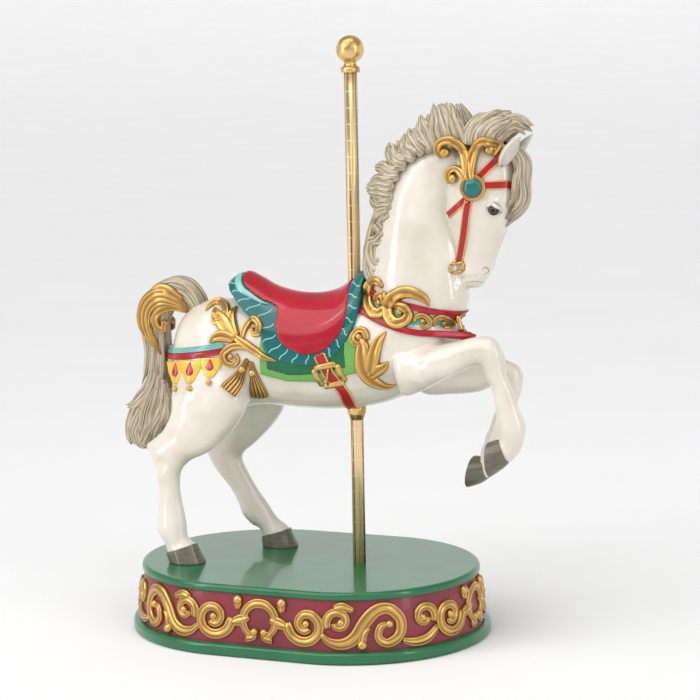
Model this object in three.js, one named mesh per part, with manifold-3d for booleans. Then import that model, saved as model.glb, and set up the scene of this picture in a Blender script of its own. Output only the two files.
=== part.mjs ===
// Carousel horse on an oval plinth: a cast horse in full harness, carried on a brass pole with a ball finial.
// Millimetres, +Z up, +X towards the horse's head. The origin is the centre of the plinth's underside.
// The horse's right side faces -Y. Its trappings, mane and tail are cast in one with it.
import * as THREE from "three";
import { ConvexGeometry } from "three/addons/geometries/ConvexGeometry.js";
import { mergeVertices } from "three/addons/utils/BufferGeometryUtils.js";
import Module from "manifold-3d";

const wasm = await Module();
wasm.setup();

// ---- driving dimensions -------------------------------------------------------------------------
const GAP = 0.3;
const PLINTH = { straight: 57, foot: 158.5, wallLow: 150, wallHigh: 144, plate: 146.5 };
const LEVEL = { foot: 13, frieze: 70.5, top: 79.3 };
const POLE = { x: 63, radius: 7.5, socket: 30, top: 657 };
const FINIAL = { ball: 16, centre: 676, neck: 6.5, collar: 11, collarTall: 6 };
const BELLY_COLLAR = { radius: 11, low: 262, high: 268 };
const RELIEF = { saddle: 6.5, border: 4.5, blanket: 3, strap: 3, bridle: 2.2, scroll: 6, frieze: 5 };
const WALL_MIDDLE = (PLINTH.wallLow + PLINTH.wallHigh) / 2;
const QUARTER = PLINTH.straight + (Math.PI / 2) * WALL_MIDDLE;

// ---- solids and their joining -------------------------------------------------------------------
function solidOf(geometry) {
  const bare = geometry.index ? geometry.toNonIndexed() : geometry.clone();
  for (const name of Object.keys(bare.attributes)) {
    if (name !== "position") bare.deleteAttribute(name);
  }
  const merged = mergeVertices(bare, 1e-3);
  return new wasm.Manifold(
    new wasm.Mesh({
      numProp: 3,
      vertProperties: merged.attributes.position.array,
      triVerts: new Uint32Array(merged.index.array),
    }),
  );
}

function geometryOf(solid) {
  const mesh = solid.getMesh();
  const geometry = new THREE.BufferGeometry();
  geometry.setAttribute("position", new THREE.BufferAttribute(new Float32Array(mesh.vertProperties), 3));
  geometry.setIndex(new THREE.BufferAttribute(new Uint32Array(mesh.triVerts), 1));
  geometry.computeVertexNormals();
  return geometry;
}

const joined = (solids) => solids.reduce((whole, next) => whole.add(next));

// A closed skin over rings of points that all have the same count, with a fan over each end.
function skin(rings) {
  const sides = rings[0].length;
  const middle = (ring) => [0, 1, 2].map((c) => ring.reduce((sum, point) => sum + point[c], 0) / sides);
  const points = [...rings.flat(), middle(rings[0]), middle(rings[rings.length - 1])];
  const faces = [];
  for (let k = 0; k < rings.length - 1; k++) {
    for (let i = 0; i < sides; i++) {
      const j = (i + 1) % sides;
      const [p, q, r, s] = [k * sides + i, k * sides + j, (k + 1) * sides + j, (k + 1) * sides + i];
      faces.push([p, q, r], [p, r, s]);
    }
  }
  const last = (rings.length - 1) * sides;
  for (let i = 0; i < sides; i++) {
    const j = (i + 1) % sides;
    faces.push([last + sides, j, i], [last + sides + 1, last + i, last + j]);
  }
  const build = (list) => {
    const geometry = new THREE.BufferGeometry();
    geometry.setAttribute("position", new THREE.Float32BufferAttribute(points.flat(), 3));
    geometry.setIndex(list.flat());
    return solidOf(geometry);
  };
  const solid = build(faces);
  return solid.volume() > 0 ? solid : build(faces.map(([p, q, r]) => [p, r, q]));
}

// A smooth run through rows of numbers, sampled `steps` times between neighbours.
function smoothRows(rows, steps) {
  const out = [];
  const at = (i) => rows[Math.max(0, Math.min(rows.length - 1, i))];
  const curve = (p, q, r, s, t) =>
    0.5 * (2 * q + (r - p) * t + (2 * p - 5 * q + 4 * r - s) * t * t + (3 * q - p - 3 * r + s) * t ** 3);
  for (let i = 0; i < rows.length - 1; i++) {
    for (let k = 0; k < steps; k++) {
      out.push(at(i).map((_, c) => curve(at(i - 1)[c], at(i)[c], at(i + 1)[c], at(i + 2)[c], k / steps)));
    }
  }
  out.push(rows[rows.length - 1]);
  return out;
}

// A form through oval sections. A section is [front x, front z, back x, back z, half width, y, egg]:
// the oval runs from the front point to the back point in side view, and an egg above 0 makes it wider
// towards the back point. Each end closes with a dome, `dome` times its half depth tall.
function loft(sections, { sides = 12, steps = 1, dome = 0.3, grow = 0 } = {}) {
  const rows = smoothRows(sections.map((section) => [...section, 0, 0].slice(0, 7)), steps);
  const domeRows = (end, inner) => {
    const [ex, ez, ix, iz] = [end, inner].flatMap((row) => [(row[0] + row[2]) / 2, (row[1] + row[3]) / 2]);
    const length = Math.hypot(ex - ix, ez - iz);
    const half = Math.hypot(end[0] - end[2], end[1] - end[3]) / 2 + grow;
    return [0.5, 0.86].map((lift) => {
      const shrink = Math.sqrt(1 - lift * lift);
      const push = (half * dome * lift) / length;
      const toX = (v) => ex + (ex - ix) * push + (v - ex) * shrink;
      const toZ = (v) => ez + (ez - iz) * push + (v - ez) * shrink;
      return [toX(end[0]), toZ(end[1]), toX(end[2]), toZ(end[3]), end[4] * shrink, end[5], end[6]];
    });
  };
  const all = [...rows];
  if (dome > 0) {
    all.unshift(...domeRows(rows[0], rows[1]).reverse());
    all.push(...domeRows(rows[rows.length - 1], rows[rows.length - 2]));
  }
  return skin(
    all.map(([fx, fz, bx, bz, width, y, egg]) => {
      const half = Math.hypot(fx - bx, fz - bz) / 2;
      return Array.from({ length: sides }, (_, i) => {
        const angle = (i / sides) * 2 * Math.PI;
        const along = Math.cos(angle) * (1 + grow / half);
        const across = (width + grow) * Math.sin(angle) * (1 - egg * Math.cos(angle));
        return [(fx + bx + (fx - bx) * along) / 2, y + across, (fz + bz + (fz - bz) * along) / 2];
      });
    }),
  );
}

// A tapering round form along points [x, y, z, radius], its ends closed to a blunt tip.
function strand(points, { sides = 5, steps = 2 } = {}) {
  const rows = smoothRows(points, steps);
  const up = new THREE.Vector3(0, 1, 0);
  return skin(
    rows.map(([x, y, z, radius], k) => {
      const before = rows[Math.max(0, k - 1)];
      const after = rows[Math.min(rows.length - 1, k + 1)];
      const along = new THREE.Vector3(...[0, 1, 2].map((c) => after[c] - before[c])).normalize();
      const across = new THREE.Vector3().crossVectors(up, along).normalize();
      const out = new THREE.Vector3().crossVectors(along, across);
      return Array.from({ length: sides }, (_, i) => {
        const angle = ((i + 0.5) / sides) * 2 * Math.PI;
        const point = new THREE.Vector3(x, y, z);
        point.addScaledVector(across, radius * Math.cos(angle));
        point.addScaledVector(out, radius * Math.sin(angle));
        return point.toArray();
      });
    }),
  );
}

// A slab through the whole width of the horse, from its outline of [x, z] points in side view.
function slab(outline, reach = 120) {
  const shape = new THREE.Shape(outline.map(([x, z]) => new THREE.Vector2(x, z)));
  const geometry = new THREE.ExtrudeGeometry(shape, { depth: 2 * reach, bevelEnabled: false });
  return solidOf(geometry.rotateX(Math.PI / 2).translate(0, reach, 0));
}

// The outline of a strap of a given width along a line of [x, z] points.
function band(line, width) {
  const edge = (side) =>
    line.map(([x, z], k) => {
      const [bx, bz] = line[Math.max(0, k - 1)];
      const [ax, az] = line[Math.min(line.length - 1, k + 1)];
      const length = Math.hypot(ax - bx, az - bz);
      return [x - (side * width * (az - bz)) / (2 * length), z + (side * width * (ax - bx)) / (2 * length)];
    });
  return [...edge(1), ...edge(-1).reverse()];
}

// A ridged ribbon laid along [run, height, half width] points, made of one convex length after another, so
// that a tight curl never folds through itself. `place` turns a run, a height and a distance out of the
// surface into a point.
function ribbon(points, place, rise) {
  const sections = points.map(([run, z, width], k) => {
    const [br, bz] = points[Math.max(0, k - 1)];
    const [ar, az] = points[Math.min(points.length - 1, k + 1)];
    const length = Math.hypot(ar - br, az - bz);
    const [nr, nz] = [(-width * (az - bz)) / length, (width * (ar - br)) / length];
    const ridge = Math.min(rise, width * 1.3);
    return [place(run + nr, z + nz, -2), place(run, z, ridge), place(run - nr, z - nz, -2)];
  });
  const corners = (section) => section.map((point) => new THREE.Vector3(...point));
  return joined(
    sections.slice(1).map((section, k) => {
      return solidOf(new ConvexGeometry([...corners(sections[k]), ...corners(section)]));
    }),
  );
}

function turned(profile, segments = 16) {
  const lathe = new THREE.LatheGeometry(profile.map(([r, z]) => new THREE.Vector2(r, z)), segments);
  return solidOf(lathe.rotateX(Math.PI / 2));
}

// ---- the horse's forms --------------------------------------------------------------------------
const TORSO = [
  [-167, 332, -163, 288, 18],
  [-153, 366, -148, 254, 36],
  [-128, 383, -123, 244, 46],
  [-92, 388, -90, 252, 50],
  [-50, 385, -50, 262, 49],
  [0, 381, 0, 261, 49],
  [42, 388, 46, 262, 48],
  [85, 400, 95, 270, 47],
  [125, 402, 135, 286, 45],
  [160, 386, 168, 306, 39],
  [184, 366, 190, 330, 24],
];
const NECK = [
  [170, 352, 82, 372, 30],
  [200, 384, 80, 418, 39],
  [199, 420, 88, 456, 36],
  [197, 452, 96, 492, 32],
  [192, 482, 108, 528, 28],
  [190, 510, 136, 560, 25],
  [203, 532, 180, 580, 21],
];
const HEAD = [
  [236, 578, 200, 572, 18],
  [250, 564, 186, 548, 23, 0, 0.05],
  [258, 541, 178, 520, 27, 0, 0.1],
  [260, 514, 177, 490, 28, 0, 0.15],
  [254, 488, 182, 468, 24, 0, 0.15],
  [244, 463, 187, 452, 19, 0, 0.1],
  [235, 441, 187, 436, 16.5],
  [230, 426, 187, 424, 16],
  [221, 414, 193, 413, 12],
];
const LEGS = {
  hindNear: [
    [-84, 345, -150, 345, 20, -20],
    [-62, 306, -157, 308, 27, -29],
    [-58, 272, -154, 278, 26, -36],
    [-74, 240, -151, 256, 23, -42],
    [-104, 212, -164, 234, 18, -47],
    [-128, 200, -182, 217, 14.5, -50],
    [-139, 188, -174, 199, 12.5, -53],
    [-141.5, 171, -169.5, 174, 11, -54],
    [-140, 155, -169, 151, 11, -54],
    [-137, 142, -170, 134, 12, -55],
    [-133.5, 124, -171, 118, 14, -56],
    [-132.5, 112, -166, 109, 13, -57],
    [-129, 106, -160, 99, 12.5, -57],
    [-122, 101, -157.5, 89, 15, -57],
  ],
  hindFar: [
    [-84, 345, -150, 345, 20, 20],
    [-48, 304, -152, 306, 27, 29],
    [-42, 264, -140, 270, 25, 36],
    [-60, 233, -136, 242, 21, 43],
    [-88, 206, -146, 216, 16, 47],
    [-108, 188, -154, 193, 13.5, 50],
    [-99, 165, -143, 170, 12, 51],
    [-88, 146, -128, 152, 11.5, 52],
    [-78, 132, -117, 134, 12.5, 53],
    [-71, 121, -110, 116, 14, 53.5],
    [-64, 112, -102, 108, 13.5, 54],
    [-56, 107, -88, 100, 13, 54],
    [-49, 101, -83.5, 90, 15, 54],
  ],
  foreNear: [
    [122, 362, 130, 300, 18, -24],
    [140, 342, 134, 286, 22, -31],
    [165, 345, 156, 292, 19, -37],
    [195, 351, 188, 309, 16, -40],
    [222, 358, 218, 323, 15, -41],
    [244, 358, 229, 325, 15, -41],
    [256, 342, 234, 317, 12.5, -41],
    [259, 318, 240, 305, 11, -41],
    [267, 300, 245, 287, 10.5, -41],
    [274, 279, 248.5, 264, 11.5, -41],
    [281, 260, 252, 251, 13.5, -41],
    [279, 243, 251, 245, 12.5, -41],
    [273, 228, 250, 243, 12.5, -41],
    [262, 217, 250, 242, 13.5, -41],
  ],
  foreFar: [
    [120, 356, 126, 296, 18, 24],
    [140, 332, 136, 278, 22, 31],
    [173, 322, 165, 278, 18, 35],
    [205, 322, 200, 282, 15.5, 38],
    [232, 321, 218, 290, 14.5, 38],
    [250, 312, 228, 288, 13, 38],
    [253, 295, 227, 277, 11.5, 38],
    [247, 272, 220, 262, 10.5, 38],
    [239, 254, 214, 246, 10, 38],
    [233, 238, 209, 230, 11.5, 38],
    [227, 220, 203, 218, 13, 38],
    [219, 199, 201, 211, 12, 38],
    [209, 180, 202, 206, 13, 38],
  ],
};
// each hoof from its coronet to its sole
const HOOVES = [
  [[-121, 103, -159, 90, 15, -57], [-110.6, LEVEL.top + GAP, -154, LEVEL.top + GAP, 18.5, -57]],
  [[-48, 102, -85, 91, 15, 54], [-39.6, LEVEL.top + GAP, -83, LEVEL.top + GAP, 18, 54]],
  [[263, 219, 253, 243, 14, -41], [239, 200.5, 236.5, 239, 17, -41]],
  [[210, 181, 205, 206, 14, 38], [184.5, 170.5, 191, 205.5, 17, 38]],
];
const TAIL = [
  [-128, 372, -148, 358, 12],
  [-138, 393, -155, 375, 17],
  [-156, 409, -165, 374, 21],
  [-182, 407, -175, 366, 23],
  [-197, 390, -176, 352, 23],
  [-200, 345, -168, 336, 20],
  [-206, 306, -177, 306, 19],
  [-207, 279, -179, 282, 20],
  [-223, 258, -176, 262, 23],
  [-235, 236, -174, 242, 24],
  [-235, 218, -180, 224, 20],
];
const SADDLE = [
  [-98, 402, -92, 330, 36, 0, 0.1],
  [-87, 415, -84, 322, 45, 0, 0.12],
  [-73, 420.5, -68, 316, 50, 0, 0.14],
  [-56, 414, -54, 316, 51, 0, 0.2],
  [-36, 404, -34, 316, 51, 0, 0.24],
  [-8, 397.5, -8, 314, 51, 0, 0.26],
  [22, 397.5, 22, 314, 51, 0, 0.26],
  [46, 404, 46, 316, 50, 0, 0.24],
  [62, 415, 64, 322, 47, 0, 0.2],
  [76, 428, 82, 332, 43, 0, 0.18],
  [87, 432, 95, 350, 36, 0, 0.1],
];

const torso = (grow) => loft(TORSO, { sides: 12, dome: 0.5, grow });
const neck = (grow) => loft(NECK, { sides: 10, dome: 0.2, grow });
const head = (grow) => loft(HEAD, { sides: 10, dome: 0.5, grow });
const leg = (name, grow = 0) => loft(LEGS[name], { sides: 7, dome: 0, grow });
const hoof = (sections) => loft(sections, { sides: 7, dome: 0 });
const saddle = (grow) => loft(SADDLE, { sides: 12, dome: 0, grow });

const EAR = [[246, 15, 536, 8], [258, 18, 546, 10], [268, 19, 559, 8], [276, 18, 576, 1]];
const EYE = { x: 240, y: 24, z: 498, radius: 6 };

function bareBody() {
  const legs = Object.keys(LEGS).map((name) => leg(name));
  const paired = [-1, 1].flatMap((side) => {
    const eye = new THREE.SphereGeometry(EYE.radius, 6, 4).translate(EYE.x, EYE.y * side, EYE.z);
    return [strand(EAR.map(([x, y, z, radius]) => [x, y * side, z, radius]), { steps: 1 }), solidOf(eye)];
  });
  return joined([torso(0), neck(0), head(0), ...legs, ...HOOVES.map(hoof), ...paired]);
}

// ---- mane and tail ------------------------------------------------------------------------------
// The mane stands on the crest: each lock runs from its root line over the crest to the outer edge.
const MANE_ROOT = [
  [118, 430], [108, 468], [112, 504], [124, 536], [146, 556], [178, 563], [212, 560], [240, 556],
];
const MANE_EDGE = [
  [86, 436], [91, 478], [87, 511], [95, 539], [116, 570], [148, 600], [184, 613], [230, 602],
];
const MANE = { locks: 8, root: 7, belly: 12, tip: 4, curl: 0.2 };

const FORELOCK = [
  [236, 7, 588, 9], [256, 8, 577, 9], [265, 7, 552, 8], [269, 6, 524, 7], [268, 5, 504, 6], [258, 4, 489, 2],
];
const POLL_LOCK = [[226, 8, 592, 9], [246, 9, 594, 8], [266, 9, 597, 2]];

function maneLocks(side) {
  const along = (line, t) => {
    const rows = smoothRows(line, 12);
    return rows[Math.round(t * (rows.length - 1))];
  };
  return Array.from({ length: MANE.locks }, (_, k) => {
    const t = k / (MANE.locks - 1);
    const [rx, rz] = along(MANE_ROOT, t);
    const [ex, ez] = along(MANE_EDGE, t);
    const [dx, dz] = [ex - rx, ez - rz];
    const bow = MANE.curl * (k % 2 ? 1 : 0.6);
    const at = (s, y, radius) => {
      const sway = bow * Math.sin(Math.PI * s);
      return [rx + dx * s - dz * sway, side * y, rz + dz * s + dx * sway, radius];
    };
    const run = [at(0, 24, MANE.root), at(0.35, 20, MANE.belly), at(0.7, 14, MANE.belly * 0.8)];
    return strand([...run, at(1, 8, MANE.tip)], { steps: 1, sides: 4 });
  });
}

function mane() {
  const crest = [];
  for (let k = 0; k < MANE_ROOT.length; k++) {
    const [[rx, rz], [ex, ez]] = [MANE_ROOT[k], MANE_EDGE[k]];
    crest.push([rx, rz, ex * 0.85 + rx * 0.15, ez * 0.85 + rz * 0.15, 17]);
  }
  const free = [-1, 1].flatMap((side) => [FORELOCK, POLL_LOCK].map((points) => {
    return strand(points.map(([x, y, z, radius]) => [x, y * side, z, radius]), { steps: 1, sides: 4 });
  }));
  return joined([loft(crest, { sides: 6, dome: 0 }), ...maneLocks(-1), ...maneLocks(1), ...free]);
}

function tail() {
  const locks = [];
  for (const [y, lean] of [[-15, -3], [0, -9], [15, -3]]) {
    const run = TAIL.filter((_, k) => k > 1 && k % 2).map(([fx, fz, bx, bz], k) => {
      const t = 0.5 + lean / 20;
      return [fx + (bx - fx) * t, y * (1 + 0.05 * k), fz + (bz - fz) * t, 8 + (k % 3)];
    });
    const [x, , z] = run[run.length - 1];
    locks.push(strand([...run, [x - 6 - lean, y * 0.6, z - 6, 2]], { steps: 1, sides: 4 }));
  }
  return joined([loft(TAIL, { sides: 8, dome: 0.3 }), ...locks]);
}

// ---- saddle and harness -------------------------------------------------------------------------
const SADDLE_FLAP = [
  [-78, 445], [-71, 418], [-62, 405], [-43, 392], [-21, 383], [-16, 361], [-8, 344], [6, 336], [21, 332.5],
  [38, 335], [51, 342.5], [62, 356], [69, 371], [69, 392], [65, 408], [68, 445],
];
const SADDLE_BORDER = [
  [-112, 445], [-99, 415], [-86, 404], [-73, 393], [-55, 376], [-38, 361], [-31, 337], [-18, 325], [4, 320],
  [27, 318.5], [53, 328.5], [66, 342], [76, 358], [82, 385], [83, 410], [90, 445],
];
const BLANKET = [[-36, 366], [-36, 306], [-4, 299], [32, 300], [86, 313], [84, 356]];
const GIRTH = [[34, 345], [46, 318], [60, 292], [64, 276], [64, 240]];
const BUCKLE = { centre: [49, 308], half: 14.5, bar: 4.5, turn: 0.22 };
const BREAST_COLLAR = [[62, 405], [88, 394], [105, 386], [147, 375], [186, 367], [225, 361]];
const BREECHING = [[-220, 315], [-180, 319.5], [-150, 323.5], [-118, 328.3], [-80, 335]];
const PENDANTS = [[-98, 312, 22], [-124, 305, 20], [-146, 302, 16]];

function square(centre, half, turn) {
  return [45, 135, 225, 315].map((degrees) => {
    const angle = (degrees * Math.PI) / 180 + turn;
    return [centre[0] + half * Math.SQRT2 * Math.cos(angle), centre[1] + half * Math.SQRT2 * Math.sin(angle)];
  });
}

function saddleAndBlanket() {
  const seat = saddle(2).add(torso(RELIEF.saddle)).intersect(slab(SADDLE_FLAP));
  const border = saddle(0).add(torso(RELIEF.border)).intersect(slab(SADDLE_BORDER));
  const blanket = torso(RELIEF.blanket).intersect(slab(BLANKET));
  return joined([blanket, border, seat]);
}

function harness() {
  const girth = torso(RELIEF.strap + 2).intersect(slab(band(GIRTH, 14)));
  const frame = slab(square(BUCKLE.centre, BUCKLE.half, BUCKLE.turn));
  const window = slab(square(BUCKLE.centre, BUCKLE.half - BUCKLE.bar, BUCKLE.turn));
  const buckle = torso(RELIEF.strap + 5).intersect(frame.subtract(window));
  const chest = joined([torso(RELIEF.strap), neck(RELIEF.strap), leg("foreNear", RELIEF.strap)]);
  const collar = chest.intersect(slab(band(BREAST_COLLAR, 33)));
  const rump = joined([torso(RELIEF.strap), leg("hindNear", RELIEF.strap), leg("hindFar", RELIEF.strap)]);
  const breeching = rump.intersect(slab(band(BREECHING, 15)));
  const parts = [girth, buckle, collar, breeching];
  for (const [x, z, width] of PENDANTS) {
    parts.push(rump.intersect(slab([[x - width / 2, z + 8], [x + width / 2, z + 10], [x, z - 12]])));
  }
  return joined(parts);
}

const CHEEK_STRAP = [[215, 512], [208, 474], [201, 436]];
const BROW_STRAP = [[226, 526], [276, 525]];
const CROWN_STRAP = [[222, 534], [272, 581]];
const THROAT_STRAP = [[212, 512], [172, 482]];

function bridle() {
  const face = head(RELIEF.bridle);
  const straps = [CHEEK_STRAP, BROW_STRAP, CROWN_STRAP, THROAT_STRAP].map((line) => {
    return face.intersect(slab(band(line, 10)));
  });
  return joined(straps);
}

// ---- gilt scrolls on the horse ------------------------------------------------------------------
// A scroll is a run of [x, z, half width] points in side view, laid on the surface below it.
const SCROLLS = {
  collarRear: [
    [104, 411, 2.5], [96, 415, 4.5], [88, 410, 5.5], [84, 400, 6], [86, 388, 6.5],
    [96, 380, 6.5], [108, 381, 6], [114, 390, 5.5], [110, 400, 5], [101, 400, 4], [98, 394, 3.4],
  ],
  collarMain: [
    [168, 390, 1], [164, 398, 4], [154, 404, 5.5], [140, 406, 6.5], [126, 400, 7], [118, 388, 7],
    [122, 375, 6.5], [133, 370, 6], [143, 376, 5.5], [143, 387, 5], [134, 391, 4],
  ],
  collarSmall: [[150, 371, 2], [154, 379, 3], [163, 380, 3.6], [168, 372, 3.4], [160, 367, 3]],
  collarSmallTwo: [[171, 366, 2], [174, 375, 3.2], [183, 377, 3.4], [187, 369, 3], [179, 365, 2.4]],
  shoulderCurl: [[97, 350, 3], [93, 360, 4], [84, 361, 4], [79, 353, 4], [84, 346, 4], [90, 349, 3]],
  shoulderStem: [
    [84, 350, 4], [91, 344, 6], [90, 330, 8], [91, 316, 9], [99, 304, 7], [112, 298, 4],
    [124, 296, 0.8],
  ],
  shoulderLeaf: [[96, 314, 5], [101, 328, 7], [109, 344, 5.5], [118, 359, 0.8]],
  shoulderLeafLow: [[97, 309, 4], [106, 317, 6], [114, 323, 4], [122, 327, 0.8]],
  croupTop: [
    [-112, 385, 1], [-106, 390, 5], [-97, 391, 6], [-88, 387, 5], [-83, 378, 4.4], [-88, 370, 4],
    [-97, 372, 3.6], [-96, 380, 3],
  ],
  croupSide: [
    [-60, 345, 3], [-58, 357, 3.8], [-52, 367, 4.2], [-43, 370.5, 4], [-35.5, 363, 4],
    [-38, 353.5, 3.6], [-46, 352, 3.2], [-50, 359, 2.8],
  ],
  croupLeaf: [[-66, 346, 4], [-79, 356, 6.5], [-90, 366, 7.5], [-100, 376, 0.8]],
  croupLeafLow: [[-68, 345, 4], [-82, 349, 5.5], [-92, 348, 5], [-99, 343, 0.8]],
  croupLeafHigh: [[-66, 348, 3.5], [-74, 360, 5], [-78, 370, 4.5], [-78, 380, 0.8]],
  croupStem: [[-70, 349, 4], [-54, 340, 5.5], [-40, 332.5, 5], [-27, 326.5, 3.4], [-14, 323, 0.8]],
  croupLow: [
    [-48, 335, 2.5], [-60, 338, 4.4], [-72, 336.5, 4.8], [-82, 328, 4.4], [-79, 318.5, 4],
    [-70, 316, 3.6], [-64, 322, 3.2], [-67, 329, 2.6],
  ],
  tassel: [[-52, 324, 2.5], [-58, 312, 5], [-66, 299, 8], [-72, 290, 8.5], [-75, 285, 5]],
  tasselFront: [[-48, 321, 2.5], [-46, 308, 5.5], [-46, 294, 9], [-46, 282, 10], [-46, 277, 6]],
  pollRear: [[186, 560, 5], [190, 571, 5], [202, 571, 5.5], [210, 556, 6], [215, 538, 5]],
  pollFront: [[231, 562, 5], [234, 573, 4.6], [225, 573, 4.6], [218, 558, 5], [216, 538, 4.5]],
};

const PLAIN_SIDE_OMITS = [
  "collarSmall", "collarSmallTwo", "croupTop", "croupLeafHigh", "croupLeafLow", "croupLow", "tasselFront",
  "shoulderCurl", "shoulderLeaf",
];

function surfaceFinder(solid) {
  const target = new THREE.Mesh(geometryOf(solid), new THREE.MeshBasicMaterial({ side: THREE.DoubleSide }));
  const ray = new THREE.Raycaster();
  return (x, z, side) => {
    ray.set(new THREE.Vector3(x, side * 300, z), new THREE.Vector3(0, -side, 0));
    const hit = ray.intersectObject(target)[0];
    return hit ? hit.point.y : 0;
  };
}

function scrollWork(surface, lines, omits = []) {
  const made = [];
  for (const [name, line] of Object.entries(lines)) {
    for (const side of omits.includes(name) ? [-1] : [-1, 1]) {
      const place = (x, z, out) => [x, surface(x, z, side) + side * out, z];
      made.push(ribbon(line, place, RELIEF.scroll));
    }
  }
  return joined(made);
}

const ROSETTE = { x: 218, y: 28, z: 523, radius: 15, tall: 10 };

function rosette(side) {
  const disc = new THREE.CylinderGeometry(ROSETTE.radius * 0.8, ROSETTE.radius, ROSETTE.tall, 10);
  return solidOf(disc.rotateX(side > 0 ? 0 : Math.PI).translate(ROSETTE.x, side * ROSETTE.y, ROSETTE.z));
}

// Acanthus wrapped round the tail's arch.
const TAIL_LEAVES = [
  [[-146, 382, 3], [-166, 391, 6], [-186, 388, 7], [-196, 370, 1]],
  [[-150, 374, 3], [-178, 374, 8], [-192, 352, 8], [-184, 322, 1]],
];

// ---- the horse ----------------------------------------------------------------------------------
function horse() {
  const dressed = joined([bareBody(), saddleAndBlanket(), harness(), bridle()]);
  const gilt = scrollWork(surfaceFinder(dressed), SCROLLS, PLAIN_SIDE_OMITS);
  const leaves = scrollWork(surfaceFinder(tail()), TAIL_LEAVES);
  const whole = joined([dressed, mane(), tail(), gilt, leaves, rosette(-1), rosette(1)]);
  const bore = turned([[0, 0], [POLE.radius + GAP, 0], [POLE.radius + GAP, 700], [0, 700]]);
  const ring = BELLY_COLLAR.radius + GAP;
  const seat = turned([[0, 0], [ring, 0], [ring, BELLY_COLLAR.high + GAP], [0, BELLY_COLLAR.high + GAP]]);
  const bored = whole.subtract(bore.add(seat).translate([POLE.x, 0, 0]));
  return bored.decompose().reduce((most, body) => (body.volume() > most.volume() ? body : most));
}

// ---- plinth -------------------------------------------------------------------------------------
const END_STEPS = 12;

// One ring of the plinth: two half circles joined by straights.
function oval(radius, z) {
  const ring = [];
  for (const end of [1, -1]) {
    for (let k = 0; k <= END_STEPS; k++) {
      const angle = ((k / END_STEPS) * 2 - end) * (Math.PI / 2);
      ring.push([end * PLINTH.straight + radius * Math.cos(angle), radius * Math.sin(angle), z]);
    }
  }
  return ring;
}

// A point on the frieze wall: `run` is the distance round it from the middle of the front.
function onWall(run, z, out) {
  const share = (z - LEVEL.foot) / (LEVEL.frieze - LEVEL.foot);
  const radius = PLINTH.wallLow + (PLINTH.wallHigh - PLINTH.wallLow) * share + out;
  const distance = Math.abs(run);
  const way = Math.sign(run) || 1;
  const angle = Math.max(0, distance - PLINTH.straight) / WALL_MIDDLE;
  if (angle === 0) return [run, -radius, z];
  return [way * (PLINTH.straight + radius * Math.sin(angle)), -radius * Math.cos(angle), z];
}

function spiral({ centre, from, turn, outer, inner, width, bend = 2, steps = 12 }) {
  return Array.from({ length: steps + 1 }, (_, k) => {
    const t = k / steps;
    const angle = ((from + turn * t) * Math.PI) / 180;
    const radius = outer + (inner - outer) * t ** bend;
    const swell = t > 0.9 ? 1.2 : 1 - 0.35 * t;
    return [centre[0] + radius * Math.cos(angle), centre[1] + radius * Math.sin(angle), width * swell];
  });
}

const S_SWEEP = [
  [79, 38, 2], [85, 25, 4], [98, 20, 5], [112, 28, 5], [124, 48, 5], [137, 62, 5], [153, 63, 5],
  [167, 48, 5], [165, 27, 5], [148, 17, 5], [135, 27, 4], [139, 43, 4], [153, 45, 3],
];
const S_TAIL = [[166, 24, 2], [182, 18, 4], [198, 21, 5], [211, 36, 2]];
const LEAF_BUD = [[90, 63, 2], [100, 64, 5], [112, 60, 1]];
const SHELL_BUD = [[26, 46, 2], [26, 56, 5], [26, 64, 4]];
const OMEGA_FOOT = [[19, 33, 4], [17, 21, 4], [8, 20, 5], [6, 30, 5]];
const DROP_BUD = [[113, 21, 3], [121, 23, 6], [128, 21, 3]];

// The back is plainer: it leaves out the buds and the small scrolls.
function frieze(plain) {
  const mirrored = (points) => points.map(([run, z, width]) => [QUARTER - run, z, width]);
  const big = spiral({ centre: [57, 43], from: 180, turn: 520, outer: 28, inner: 3, width: 5.5, steps: 9 });
  const small = spiral({ centre: [94, 47], from: 215, turn: -380, outer: 16, inner: 3, width: 4.5, steps: 6 });
  const twice = plain ? [big] : [big, small, LEAF_BUD, SHELL_BUD];
  const quarter = [...twice.flatMap((points) => [points, mirrored(points)]), S_SWEEP, S_TAIL];
  if (!plain) quarter.push(DROP_BUD);
  const arch = [-1, 1].map((way) => OMEGA_FOOT.map(([run, z, width]) => [way * run, z, width]));
  const hoop = Array.from({ length: 7 }, (_, k) => {
    const angle = ((-28 + (236 * k) / 6) * Math.PI) / 180;
    return [20 * Math.cos(angle), 42 + 23 * Math.sin(angle), 5];
  });
  const made = [];
  const lay = (points, way, shift) => {
    const moved = points.map(([run, z, width]) => [way * run + shift, z, width]);
    made.push(ribbon(moved, onWall, RELIEF.frieze));
  };
  for (const way of [1, -1]) {
    for (const points of quarter) lay(points, way, 0);
  }
  for (const shift of plain ? [0] : [-QUARTER, 0, QUARTER]) {
    for (const points of [hoop, ...arch]) lay(points, 1, shift);
  }
  return joined(made);
}

function plinth() {
  const { foot, wallLow, wallHigh, plate } = PLINTH;
  const profile = [
    [foot - 2, 0], [foot, 2], [foot, 8], [foot - 3, 12], [wallLow, LEVEL.foot], [wallHigh, LEVEL.frieze],
    [plate, LEVEL.frieze], [plate, LEVEL.top - 1], [plate - 1, LEVEL.top],
  ];
  const base = skin(profile.map(([radius, z]) => oval(radius, z)));
  const front = frieze(false);
  const back = frieze(true).rotate([0, 0, 180]);
  const depth = LEVEL.top - POLE.socket;
  const socket = turned([[0, depth], [POLE.radius + GAP, depth], [POLE.radius + GAP, 90], [0, 90]]);
  return joined([base, front, back]).subtract(socket.translate([POLE.x, 0, 0]));
}

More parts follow.
